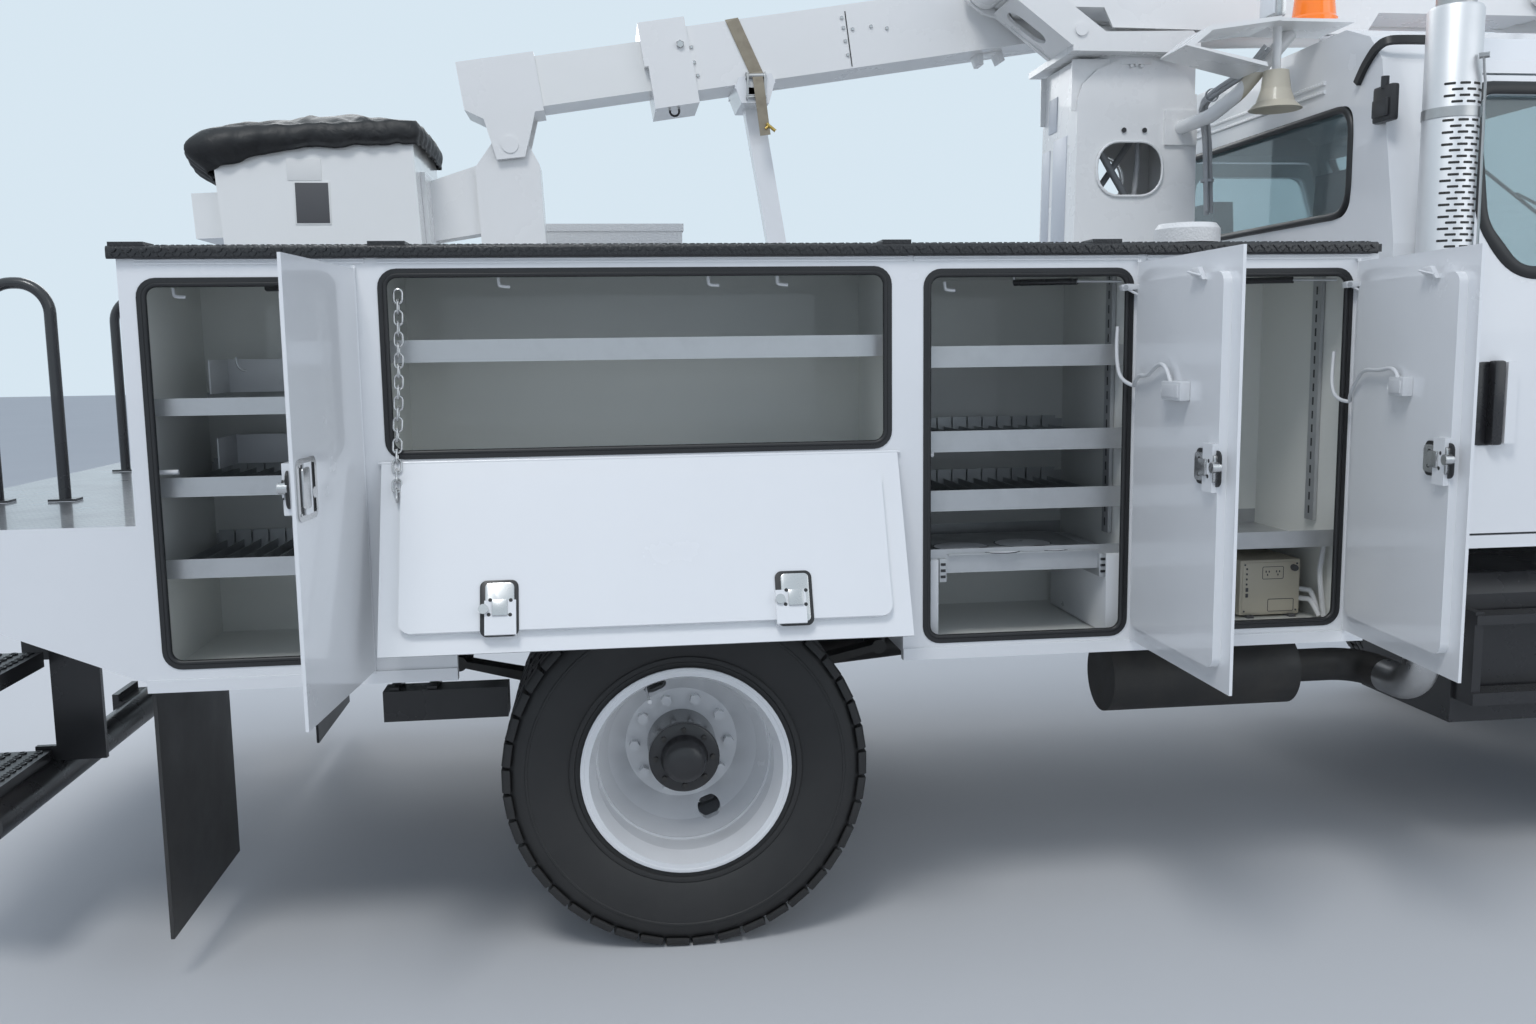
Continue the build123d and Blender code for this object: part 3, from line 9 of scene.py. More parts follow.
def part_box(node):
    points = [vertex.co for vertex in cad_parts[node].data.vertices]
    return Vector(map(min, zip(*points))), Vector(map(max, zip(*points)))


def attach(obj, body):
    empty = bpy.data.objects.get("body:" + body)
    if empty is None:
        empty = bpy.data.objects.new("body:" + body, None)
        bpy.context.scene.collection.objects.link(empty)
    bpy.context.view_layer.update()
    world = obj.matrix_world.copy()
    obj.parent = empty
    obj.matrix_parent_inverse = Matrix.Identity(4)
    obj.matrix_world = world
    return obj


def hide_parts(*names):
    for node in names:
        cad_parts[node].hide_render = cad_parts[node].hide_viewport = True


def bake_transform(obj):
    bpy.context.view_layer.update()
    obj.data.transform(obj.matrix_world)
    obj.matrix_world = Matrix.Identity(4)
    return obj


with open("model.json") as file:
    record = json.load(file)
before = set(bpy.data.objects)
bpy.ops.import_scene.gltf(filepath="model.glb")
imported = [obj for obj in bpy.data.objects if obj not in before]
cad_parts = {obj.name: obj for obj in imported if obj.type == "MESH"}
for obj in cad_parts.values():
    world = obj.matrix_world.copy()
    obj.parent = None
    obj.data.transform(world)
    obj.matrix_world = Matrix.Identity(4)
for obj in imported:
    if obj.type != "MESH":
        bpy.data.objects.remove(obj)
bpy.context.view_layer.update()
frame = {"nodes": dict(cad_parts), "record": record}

# the truck's own millimetres: forward from the rear axle, left from the middle, up from the road
leftLow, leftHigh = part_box("rear_tyres_left")
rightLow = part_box("rear_tyres_right")[0]
origin = Vector(((leftLow.x + leftHigh.x) / 2, (leftHigh.y + rightLow.y) / 2, 0))
toScene = Matrix.Translation(origin) @ Matrix.Scale(0.001, 4)


def place(x, y, z):
    return toScene @ Vector((x, y, z))


# shader helpers

def feed(tree, socket, value):
    # a link from another socket, or a plain value
    if isinstance(value, bpy.types.NodeSocket):
        tree.links.new(value, socket)
    else:
        socket.default_value = value


def wire(tree, kind, feeds=None, **settings):
    node = tree.nodes.new(kind)
    for key, value in settings.items():
        setattr(node, key, value)
    for name, value in (feeds or {}).items():
        feed(tree, node.inputs[name], value)
    return node


def sums(tree, operation, *values):
    return wire(tree, "ShaderNodeMath", dict(enumerate(values)), operation=operation).outputs[0]


def objectPlace(tree):
    return wire(tree, "ShaderNodeTexCoord").outputs["Object"]


def axes(tree, vector):
    return wire(tree, "ShaderNodeSeparateXYZ", {"Vector": vector}).outputs


def combined(tree, operation, masks):
    return reduce(lambda one, two: sums(tree, operation, one, two), masks)


def blendColour(tree, factor, first, second):
    return wire(tree, "ShaderNodeMix", {0: factor, 6: first, 7: second}, data_type="RGBA").outputs[2]


def newGroup(name, takes, gives, kind="ShaderNodeTree"):
    tree = bpy.data.node_groups.new(name, kind)
    for label, holds, value in takes:
        socket = tree.interface.new_socket(label, in_out="INPUT", socket_type="NodeSocket" + holds)
        if value is not None:
            socket.default_value = value
    for label, holds in gives:
        tree.interface.new_socket(label, in_out="OUTPUT", socket_type="NodeSocket" + holds)
    return tree, tree.nodes.new("NodeGroupInput").outputs, tree.nodes.new("NodeGroupOutput").inputs


def skinGroup():
    # colour drift, gloss drift and fine relief that every painted or moulded surface here has
    takes = [("Colour", "Color", (0.8, 0.8, 0.8, 1)), ("Second Colour", "Color", (0.6, 0.6, 0.6, 1)),
             ("Drift Scale", "Float", 3), ("Drift", "Float", 0.3), ("Roughness", "Float", 0.3),
             ("Roughness Spread", "Float", 0.1), ("Grain Scale", "Float", 400), ("Speckle", "Float", 0)]
    gives = [("Colour", "Color"), ("Roughness", "Float"), ("Height", "Float")]
    tree, get, out = newGroup("surface skin", takes, gives)
    where = objectPlace(tree)
    wide = wire(tree, "ShaderNodeTexNoise",
                {"Vector": where, "Scale": get["Drift Scale"], "Detail": 5, "Roughness": 0.6}).outputs[0]
    fine = wire(tree, "ShaderNodeTexNoise",
                {"Vector": where, "Scale": get["Grain Scale"], "Detail": 2}).outputs[0]
    spots = wire(tree, "ShaderNodeTexVoronoi",
                 {"Vector": where, "Scale": get["Grain Scale"]}).outputs["Distance"]
    mask = sums(tree, "MULTIPLY", sums(tree, "SMOOTH_MAX", sums(tree, "SUBTRACT", wide, 0.42), 0, 0.1),
                sums(tree, "MULTIPLY", get["Drift"], 3))
    dots = sums(tree, "MULTIPLY", sums(tree, "LESS_THAN", spots, 0.22), get["Speckle"])
    both = sums(tree, "MINIMUM", sums(tree, "ADD", mask, dots), 1)
    tree.links.new(blendColour(tree, both, get["Colour"], get["Second Colour"]), out["Colour"])
    rough = sums(tree, "MULTIPLY_ADD", sums(tree, "SUBTRACT", wide, 0.5),
                 sums(tree, "MULTIPLY", get["Roughness Spread"], 4), get["Roughness"])
    tree.links.new(rough, out["Roughness"])
    tree.links.new(fine, out["Height"])
    return tree


def dustGroup():
    # road dust in patches that thickens towards the road
    takes = [("Colour", "Color", (0.8, 0.8, 0.8, 1)), ("Dust Colour", "Color", (0.32, 0.29, 0.26, 1)),
             ("Amount", "Float", 0.3), ("Reach", "Float", 1.1)]
    tree, get, out = newGroup("road dust", takes, [("Colour", "Color"), ("Mask", "Float")])
    where = objectPlace(tree)
    height = axes(tree, where)[2]
    low = wire(tree, "ShaderNodeMapRange", {"Value": height, "From Min": get["Reach"], "From Max": 0.1,
                                            "To Min": 0, "To Max": 1}).outputs[0]
    patch = wire(tree, "ShaderNodeTexNoise",
                 {"Vector": where, "Scale": 7, "Detail": 6, "Roughness": 0.7}).outputs[0]
    mask = sums(tree, "MULTIPLY", sums(tree, "MULTIPLY", low, patch), get["Amount"])
    tree.links.new(blendColour(tree, mask, get["Colour"], get["Dust Colour"]), out["Colour"])
    tree.links.new(mask, out["Mask"])
    return tree


def plateGroup():
    # raised lozenges of tread plate, in two leanings, on the XY plane
    tree, get, out = newGroup("tread plate", [("Pitch", "Float", 0.03)], [("Height", "Float")])
    along, across = axes(tree, objectPlace(tree))[:2]
    heights = []
    for shiftX, shiftY, lean in ((0, 0, 0.785), (0.5, 0.5, -0.785)):
        cells = []
        for part, shift in ((along, shiftX), (across, shiftY)):
            cell = sums(tree, "ADD", sums(tree, "DIVIDE", part, get["Pitch"]), shift)
            cells.append(sums(tree, "SUBTRACT", sums(tree, "FRACT", cell), 0.5))
        u, v = cells
        long = sums(tree, "ABSOLUTE", sums(tree, "ADD", sums(tree, "MULTIPLY", u, cos(lean)),
                                           sums(tree, "MULTIPLY", v, sin(lean))))
        thin = sums(tree, "ABSOLUTE", sums(tree, "SUBTRACT", sums(tree, "MULTIPLY", v, cos(lean)),
                                           sums(tree, "MULTIPLY", u, sin(lean))))
        reach = sums(tree, "ADD", sums(tree, "DIVIDE", long, 0.42), sums(tree, "DIVIDE", thin, 0.11))
        heights.append(sums(tree, "MAXIMUM", sums(tree, "SUBTRACT", 1, reach), 0))
    tree.links.new(sums(tree, "MINIMUM", sums(tree, "MULTIPLY", sums(tree, "MAXIMUM", *heights), 2.5), 1),
                   out["Height"])
    return tree


surfaceSkin, roadDust, treadPlate = skinGroup(), dustGroup(), plateGroup()


def finish(name, colour, second=None, drift=0.25, driftScale=3, rough=0.3, spread=0.08, grain=420,
           bump=0.05, bumpDepth=0.0004, metal=0, speckle=0, dust=0, dustReach=1.1, coat=0,
           slot=None, plate=0, **sockets):
    # one painted, moulded or metal finish from the shared groups
    made = bpy.data.materials.new(name)
    made.use_nodes = True
    tree = made.node_tree
    shader = tree.nodes["Principled BSDF"]
    second = second or tuple(c * 0.86 for c in colour)
    skin = wire(tree, "ShaderNodeGroup", node_tree=surfaceSkin)
    for key, value in {"Colour": (*colour, 1), "Second Colour": (*second, 1), "Drift Scale": driftScale,
                       "Drift": drift, "Roughness": rough, "Roughness Spread": spread,
                       "Grain Scale": grain, "Speckle": speckle}.items():
        skin.inputs[key].default_value = value
    tint, height = skin.outputs["Colour"], skin.outputs["Height"]
    if dust:
        film = wire(tree, "ShaderNodeGroup", node_tree=roadDust)
        tree.links.new(tint, film.inputs["Colour"])
        film.inputs["Amount"].default_value = dust
        film.inputs["Reach"].default_value = dustReach
        tint = film.outputs["Colour"]
    if plate:
        lozenge = wire(tree, "ShaderNodeGroup", node_tree=treadPlate)
        lozenge.inputs["Pitch"].default_value = plate
        height = sums(tree, "MULTIPLY_ADD", height, 0.1, lozenge.outputs["Height"])
    tree.links.new(tint, shader.inputs["Base Color"])
    tree.links.new(skin.outputs["Roughness"], shader.inputs["Roughness"])
    relief = wire(tree, "ShaderNodeBump", {"Height": height, "Strength": bump, "Distance": bumpDepth})
    tree.links.new(relief.outputs["Normal"], shader.inputs["Normal"])
    shader.inputs["Metallic"].default_value = metal
    shader.inputs["Coat Weight"].default_value = coat
    for key, value in sockets.items():
        shader.inputs[key.replace("_", " ")].default_value = value
    made["slot"] = slot or ""
    return made


paint = finish("white paint", (0.83, 0.84, 0.85), (0.76, 0.77, 0.78), rough=0.24, spread=0.05, bump=0.03,
               coat=0.5, dust=0.22, slot="white_paint")
boomPaint = finish("boom white", (0.85, 0.85, 0.84), (0.78, 0.78, 0.76), rough=0.28,
                   bump=0.04, coat=0.3, slot="boom_white")
# the lockers' insides are the same white paint: this copy's warmer grey-green tint is painted shade, its
# rougher, coarser grain is the finish
shadedLining = finish("locker lining", (0.82, 0.83, 0.79), (0.74, 0.75, 0.71), rough=0.38, spread=0.1, bump=0.08,
                driftScale=2.2, slot="white_paint")
blackPaint = finish("black paint", (0.022, 0.022, 0.024), (0.05, 0.05, 0.05), rough=0.3, spread=0.12,
                    grain=260, bump=0.1, dust=0.1, dustReach=0.9, slot="black_paint")
liner = finish("bed liner", (0.02, 0.02, 0.022), (0.1, 0.1, 0.1), drift=0.1, rough=0.32, spread=0.1,
               grain=150, bump=0.9, bumpDepth=0.002, speckle=0.25, slot="black_liner")
alloy = finish("milled alloy", (0.56, 0.57, 0.58), (0.44, 0.45, 0.46), drift=0.4, rough=0.34, spread=0.12,
               metal=0.85, grain=600, bump=0.08, slot="alloy")
zinc = finish("galvanised shelf", (0.5, 0.51, 0.52), (0.4, 0.41, 0.42), drift=0.5, driftScale=14,
              rough=0.38, metal=0.6, slot="alloy")
steel = finish("worn steel", (0.5, 0.5, 0.5), (0.3, 0.29, 0.28), drift=0.4, driftScale=12, rough=0.36,
               spread=0.14, metal=0.95, slot="alloy")
bright = finish("bright metal", (0.72, 0.72, 0.73), (0.6, 0.6, 0.6), rough=0.12, spread=0.06, metal=1,
                grain=700, bump=0.02, slot="bright")
iron = finish("black iron", (0.03, 0.029, 0.028), (0.09, 0.08, 0.07), drift=0.5, driftScale=8, rough=0.55,
              spread=0.15, grain=160, bump=0.3, bumpDepth=0.001, metal=0.3, dust=0.12, slot="iron")
tyreRubber = finish("tyre rubber", (0.013, 0.013, 0.0135), (0.026, 0.026, 0.027), drift=0.5, driftScale=10,
                    rough=0.62, spread=0.1, grain=320, bump=0.25, bumpDepth=0.0008, dust=0.06, slot="tyre")
sealRubber = finish("seal rubber", (0.016, 0.016, 0.017), (0.035, 0.035, 0.035), rough=0.42,
                    spread=0.12, bump=0.15, slot="rubber")
flapRubber = finish("flap rubber", (0.017, 0.017, 0.018), (0.05, 0.048, 0.045), drift=0.5, rough=0.5,
                    spread=0.1, driftScale=5, bump=0.2, dust=0.12, slot="rubber")
trim = finish("grained trim", (0.09, 0.09, 0.095), (0.07, 0.07, 0.07), rough=0.6, grain=260, bump=0.35,
              bumpDepth=0.0008, slot="trim")
seatCloth = finish("seat cloth", (0.2, 0.2, 0.21), (0.13, 0.13, 0.14), drift=0.4, driftScale=40, rough=0.9,
                   grain=900, bump=0.5, slot="trim")
fibreglass = finish("fibreglass", (0.86, 0.86, 0.84), (0.8, 0.8, 0.77), rough=0.2, bump=0.05,
                    grain=120, coat=0.6, slot="fibreglass")
amber = finish("amber lens", (0.95, 0.22, 0.01), (0.8, 0.14, 0.0), rough=0.14, coat=0.7,
               Emission_Color=(0.9, 0.16, 0.0, 1), Emission_Strength=0.25, slot="lamp_amber")
red = finish("red lens", (0.55, 0.015, 0.01), rough=0.14, coat=0.7, slot="lamp_red")
lens = finish("clear lens", (0.8, 0.82, 0.84), rough=0.08, coat=1, grain=90, bump=0.3, slot="lamp_clear")
hoseGrey = finish("grey hose", (0.44, 0.45, 0.46), (0.3, 0.3, 0.31), drift=0.4, driftScale=20,
                  rough=0.5, bump=0.2, slot="rubber")
beige = finish("beige case", (0.62, 0.57, 0.46), (0.5, 0.46, 0.37), drift=0.3,
               rough=0.5, bump=0.1, slot="boom_white")
cableWhite = finish("white cable", (0.7, 0.71, 0.72), rough=0.5, slot="white_paint")
webbing = finish("tan webbing", (0.33, 0.29, 0.22), (0.2, 0.17, 0.13), drift=0.6, driftScale=25, rough=0.85,
                 grain=900, bump=0.6, slot="vinyl")
tintGlass = finish("window glass", (0.62, 0.72, 0.74), drift=0.1, rough=0.02, spread=0.02, bump=0.01,
                   Transmission_Weight=0.92, IOR=1.45, slot="glass")
deckPlate = finish("tread plate deck", (0.2, 0.21, 0.23), (0.12, 0.12, 0.13), drift=0.3, rough=0.3, metal=0.8,
                   bump=0.9, bumpDepth=0.003, plate=0.03, slot="white_paint")
guardAlloy = finish("brushed guard", (0.74, 0.74, 0.75), (0.62, 0.62, 0.63), drift=0.3, driftScale=6,
                    rough=0.46, spread=0.06, metal=0.7, grain=700, bump=0.08, slot="alloy")
bumperFinish = finish("bumper", (0.74, 0.74, 0.75), rough=0.14, metal=1, bump=0.02, dust=0.2, slot="bright")
latchMetal = finish("plated latch", (0.6, 0.6, 0.6), (0.42, 0.42, 0.42), drift=0.4, driftScale=20,
                    rough=0.24, metal=0.85, slot="bright")
lockerWhite = finish("locker white", (0.72, 0.73, 0.74), (0.64, 0.65, 0.66), rough=0.32,
                     bump=0.05, slot="white_paint")
goldPaint = finish("gold plating", (0.6, 0.42, 0.12), (0.5, 0.34, 0.1), rough=0.3, metal=0.8, slot="bright")
plateGrey = finish("blank grey plate", (0.55, 0.58, 0.63), (0.5, 0.53, 0.58), rough=0.4, slot="white_paint")
blankPlate = finish("blank plate", (0.8, 0.8, 0.78), (0.72, 0.72, 0.7), rough=0.4, slot="white_paint")
mirrorGlass = finish("mirror glass", (0.8, 0.82, 0.85), rough=0.03, metal=1, bump=0, slot="bright")
vinyl = finish("cover vinyl", (0.012, 0.012, 0.013), (0.022, 0.022, 0.023), drift=0.3, driftScale=14,
               rough=0.5, spread=0.08, grain=900, bump=0.2, slot="vinyl")

bySlot = {"white_paint": paint, "boom_white": boomPaint, "black_paint": blackPaint,
          "black_liner": liner, "alloy": alloy, "bright": bright, "iron": iron, "tyre": tyreRubber,
          "rubber": flapRubber, "glass": tintGlass, "lamp_clear": lens, "lamp_red": red, "lamp_amber": amber,
          "trim": trim, "fibreglass": fibreglass, "vinyl": sealRubber}


# mesh helpers: every size in the truck's millimetres

def linked(name, data):
    made = bpy.data.objects.new(name, data)
    bpy.context.scene.collection.objects.link(made)
    return made


def evaluatedMesh(holder):
    return bpy.data.meshes.new_from_object(holder.evaluated_get(bpy.context.evaluated_depsgraph_get()))


def loft(part, rings, closed=False, capped=True):
    # quads from ring to ring, facing outward; closed joins last to first, else capped fills both ends
    for one, two in zip(rings, rings[1:] + (rings[:1] if closed else [])):
        for k in range(len(one)):
            n = (k + 1) % len(one)
            part.faces.new((one[k], one[n], two[n], two[k]))
    if capped and not closed:
        part.faces.new(rings[0][::-1])
        part.faces.new(rings[-1])
    bmesh.ops.recalc_face_normals(part, faces=part.faces)


def turned(base, way):
    return Matrix.Translation(base) @ Vector(way).to_track_quat("Z", "Y").to_matrix().to_4x4()


class Shape:
    # solids gathered into one mesh, each carried by the pose if there is one

    def __init__(self, pose=None):
        self.bm, self.pose = bmesh.new(), pose

    def add(self, part, edge=0):
        if edge:
            sharp = [e for e in part.edges if len(e.link_faces) == 2 and e.calc_face_angle(0) > 0.5]
            bmesh.ops.bevel(part, geom=sharp, offset=edge, segments=2, affect="EDGES",
                            profile=0.6, clamp_overlap=True)
        if self.pose is not None:
            part.transform(self.pose)
        keep = bpy.data.meshes.new("part")
        part.to_mesh(keep)
        part.free()
        self.bm.from_mesh(keep)
        bpy.data.meshes.remove(keep)
        return self

    def block(self, x0, x1, y0, y1, z0, z1, edge=1.5):
        part = bmesh.new()
        bmesh.ops.create_cube(part, size=1)
        middle = ((x0 + x1) / 2, (y0 + y1) / 2, (z0 + z1) / 2)
        size = (abs(x1 - x0), abs(y1 - y0), abs(z1 - z0), 1)
        part.transform(Matrix.Translation(middle) @ Matrix.Diagonal(size))
        return self.add(part, edge)

    def plate(self, outline, axis, start, end, edge=1):
        # outline on the plane across the named axis, drawn out from start to end
        part = bmesh.new()
        order = {"X": lambda a, b, c: (c, a, b), "Y": lambda a, b, c: (a, c, b),
                 "Z": lambda a, b, c: (a, b, c)}[axis]
        low, high = ([part.verts.new(order(a, b, c)) for a, b in outline] for c in (start, end))
        part.faces.new(low)
        part.faces.new(high[::-1])
        for i in range(len(low)):
            j = (i + 1) % len(low)
            part.faces.new((low[j], low[i], high[i], high[j]))
        bmesh.ops.recalc_face_normals(part, faces=part.faces)
        return self.add(part, edge)

    def rod(self, start, end, radius, sides=24, edge=0):
        a, b = Vector(start), Vector(end)
        part = bmesh.new()
        bmesh.ops.create_cone(part, cap_ends=True, segments=sides, radius1=radius,
                              radius2=radius, depth=(b - a).length)
        part.transform(turned((a + b) / 2, b - a))
        return self.add(part, edge)

    def lathe(self, profile, base, way=(0, 0, 1), sides=32, closed=False):
        # profile: radius and height pairs, turned round way from base; closed joins its end to its start
        part = bmesh.new()
        rings = []
        for radius, height in profile:
            around = range(sides if radius > 1e-6 else 1)
            rings.append([part.verts.new((radius * cos(tau * k / sides),
                                          radius * sin(tau * k / sides), height)) for k in around])
        for low, high in zip(rings, rings[1:] + (rings[:1] if closed else [])):
            for k in range(sides):
                n = (k + 1) % sides
                corners = dict.fromkeys((low[k % len(low)], low[n % len(low)],
                                         high[n % len(high)], high[k % len(high)]))
                if len(corners) > 2:
                    part.faces.new(corners)
        for ring in (rings[0], rings[-1]):
            if len(ring) > 2 and not closed:
                part.faces.new(ring)
        bmesh.ops.recalc_face_normals(part, faces=part.faces)
        part.transform(turned(base, way))
        return self.add(part)

    def sweep(self, path, section, closed=False, up=(0, 0, 1)):
        # section: points across the path, as sideways and along up
        part = bmesh.new()
        points = [Vector(p) for p in path]
        rings = []
        count = len(points)
        for i, p in enumerate(points):
            before = points[i - 1] if closed or i else p
            after = points[(i + 1) % count] if closed or i < count - 1 else p
            way = (after - before).normalized()
            side = way.cross(Vector(up)).normalized()
            lift = side.cross(way).normalized()
            stretch = 1.0
            if (closed or 0 < i < count - 1) and (p - before).length > 1e-6 and (after - p).length > 1e-6:
                stretch = 1 / max(0.5, cos((p - before).angle(after - p) / 2))
            rings.append([part.verts.new(p + side * a * stretch + lift * b) for a, b in section])
        loft(part, rings, closed)
        return self.add(part)

    def tube(self, line, radius, sides=12):
        # round, with rings that turn with the line
        part = bmesh.new()
        rings = []
        side = (line[1] - line[0]).normalized().orthogonal().normalized()
        for i, p in enumerate(line):
            way = (line[min(i + 1, len(line) - 1)] - line[max(i - 1, 0)]).normalized()
            side = (side - way * side.dot(way)).normalized()
            lift = way.cross(side)
            turns = [tau * k / sides for k in range(sides)]
            rings.append([part.verts.new(p + (side * cos(turn) + lift * sin(turn)) * radius)
                          for turn in turns])
        loft(part, rings)
        return self.add(part)

    def piece(self, name, material, body="truck", replaces=(), smooth=40):
        mesh = bpy.data.meshes.new(name)
        self.bm.transform(toScene)
        self.bm.to_mesh(mesh)
        self.bm.free()
        return register(mesh, name, material, body, replaces, smooth)


def register(mesh, name, material, body, replaces=(), smooth=40):
    made = linked(name, mesh)
    mesh.materials.clear()
    mesh.materials.append(material)
    mesh.shade_smooth()
    mesh.set_sharp_from_angle(angle=radians(smooth))
    if body:
        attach(made, body)
    if replaces:
        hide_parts(*replaces)
    return made


def roundSection(radius, sides=12):
    return [(radius * cos(tau * k / sides), radius * sin(tau * k / sides)) for k in range(sides)]


def roundedBox(a0, a1, b0, b1, radius, steps=6):
    # closed outline with round corners
    out = []
    for ca, cb, start in ((a1 - radius, b1 - radius, 0), (a0 + radius, b1 - radius, 90),
                          (a0 + radius, b0 + radius, 180), (a1 - radius, b0 + radius, 270)):
        for k in range(steps + 1):
            turn = radians(start + 90 * k / steps)
            out.append((ca + radius * cos(turn), cb + radius * sin(turn)))
    return out


def roundedLoop(points, radius, steps=6):
    # closed outline of any corners, each cut by a curve
    out = []
    count = len(points)
    for i, p in enumerate(points):
        p, a, b = Vector(p), Vector(points[i - 1]), Vector(points[(i + 1) % count])
        cut = min(radius, (a - p).length * 0.45, (b - p).length * 0.45)
        start, end = p + (a - p).normalized() * cut, p + (b - p).normalized() * cut
        for k in range(steps + 1):
            t = k / steps
            out.append(tuple(start * (1 - t) ** 2 + p * 2 * t * (1 - t) + end * t ** 2))
    return out


def smoothLine(points, resolution=8):
    # points read off a smooth spline through the given controls
    curve = bpy.data.curves.new("line", "CURVE")
    curve.dimensions = "3D"
    curve.resolution_u = resolution
    spline = curve.splines.new("NURBS")
    spline.points.add(len(points) - 1)
    for point, at in zip(spline.points, points):
        point.co = (*at, 1)
    spline.order_u = 3
    spline.use_endpoint_u = True
    holder = linked("line", curve)
    mesh = evaluatedMesh(holder)
    line = [v.co.copy() for v in mesh.vertices]
    bpy.data.objects.remove(holder)
    bpy.data.curves.remove(curve)
    bpy.data.meshes.remove(mesh)
    return line


# geometry node helpers

def scatterTree():
    # one copy of a source shape on each point, turned to face and spun as the point says
    takes = [("Geometry", "Geometry", None), ("Source", "Object", None), ("Finish", "Material", None)]
    tree, get, out = newGroup("fasteners", takes, [("Geometry", "Geometry")], "GeometryNodeTree")
    source = wire(tree, "GeometryNodeObjectInfo", {"Object": get["Source"]}, transform_space="ORIGINAL")
    facing, along = (wire(tree, "GeometryNodeInputNamedAttribute", {"Name": name},
                          data_type="FLOAT_VECTOR").outputs[0]
                     for name in ("facing", "along"))
    turn = wire(tree, "FunctionNodeAxesToRotation",
                {"Primary Axis": facing, "Secondary Axis": along}).outputs[0]
    dots = wire(tree, "GeometryNodeMeshToPoints", {"Mesh": get["Geometry"]}).outputs[0]
    copies = wire(tree, "GeometryNodeInstanceOnPoints",
                  {"Points": dots, "Instance": source.outputs["Geometry"], "Rotation": turn})
    real = wire(tree, "GeometryNodeRealizeInstances", {"Geometry": copies.outputs[0]})
    done = wire(tree, "GeometryNodeSetMaterial", {"Geometry": real.outputs[0], "Material": get["Finish"]})
    tree.links.new(done.outputs[0], out["Geometry"])
    return tree


fastenerTree = scatterTree()


def scatter(name, source, rows, material, body="truck"):
    # rows: place, facing and along, in millimetres; source: a shape made about zero with its foot at z 0
    mesh = bpy.data.meshes.new("points")
    mesh.from_pydata([place(*at) for at, _, _ in rows], [], [])
    for label, column in (("facing", 1), ("along", 2)):
        data = mesh.attributes.new(label, "FLOAT_VECTOR", "POINT").data
        for item, row in zip(data, rows):
            item.vector = Vector(row[column])
    holder = linked("points", mesh)
    model = bpy.data.meshes.new("source")
    source.bm.transform(Matrix.Scale(0.001, 4))
    source.bm.to_mesh(model)
    source.bm.free()
    stamp = linked("source", model)
    modifier = holder.modifiers.new("fasteners", "NODES")
    modifier.node_group = fastenerTree
    for label, value in (("Source", stamp), ("Finish", material)):
        socket = next(s for s in fastenerTree.interface.items_tree if s.name == label and s.in_out == "INPUT")
        modifier[socket.identifier] = value
    result = evaluatedMesh(holder)
    bpy.data.objects.remove(holder)
    bpy.data.objects.remove(stamp)
    result.name = name
    return register(result, name, material, body)


# finishes of the carried-over nodes

def boxMask(tree, where, x0, x1, y0, y1, z0, z1):
    # 1 inside a box given in millimetres
    low, high = place(x0, y0, z0), place(x1, y1, z1)
    parts = axes(tree, where)
    inside = []
    for part, a, b in zip(parts, low, high):
        away = sums(tree, "ABSOLUTE", sums(tree, "SUBTRACT", part, (a + b) / 2))
        inside.append(sums(tree, "LESS_THAN", away, abs(b - a) / 2))
    return combined(tree, "MULTIPLY", inside)


def twoFinish(name, outer, inner, boxes, facing=None):
    # a finish that changes to another inside the given boxes
    made = outer.copy()
    made.name = name
    tree = made.node_tree
    where = objectPlace(tree)
    mask = combined(tree, "MAXIMUM", [boxMask(tree, where, *box) for box in boxes])
    if facing is not None:
        normal = axes(tree, wire(tree, "ShaderNodeNewGeometry").outputs["Normal"])[2]
        mask = sums(tree, "MULTIPLY", mask, sums(tree, "GREATER_THAN", normal, facing))
    shader = tree.nodes["Principled BSDF"]
    source = inner.node_tree
    skin = next(n for n in source.nodes if n.type == "GROUP" and n.node_tree == surfaceSkin)
    second = wire(tree, "ShaderNodeGroup", node_tree=surfaceSkin)
    for a, b in zip(second.inputs, skin.inputs):
        a.default_value = b.default_value
    for label, output in (("Base Color", "Colour"), ("Roughness", "Roughness")):
        old = shader.inputs[label].links[0].from_socket
        if label == "Base Color":
            tree.links.new(blendColour(tree, mask, old, second.outputs[output]), shader.inputs[label])
        else:
            tree.links.new(sums(tree, "MULTIPLY_ADD", sums(tree, "SUBTRACT", second.outputs[output], old),
                                mask, old), shader.inputs[label])
    inShader = source.nodes["Principled BSDF"]
    metalIn, metalOut = inShader.inputs["Metallic"].default_value, shader.inputs["Metallic"].default_value
    if metalIn != metalOut:
        tree.links.new(sums(tree, "MULTIPLY_ADD", mask, metalIn - metalOut, metalOut),
                       shader.inputs["Metallic"])
    lozenges = [n for n in source.nodes if n.type == "GROUP" and n.node_tree == treadPlate]
    if lozenges:
        pattern = wire(tree, "ShaderNodeGroup", node_tree=treadPlate)
        pattern.inputs[0].default_value = lozenges[0].inputs[0].default_value
        first = shader.inputs["Normal"].links[0].from_socket
        relief = wire(tree, "ShaderNodeBump", {"Height": sums(tree, "MULTIPLY", pattern.outputs[0], mask),
                                               "Strength": 0.9, "Distance": 0.003, "Normal": first})
        tree.links.new(relief.outputs["Normal"], shader.inputs["Normal"])
    return made


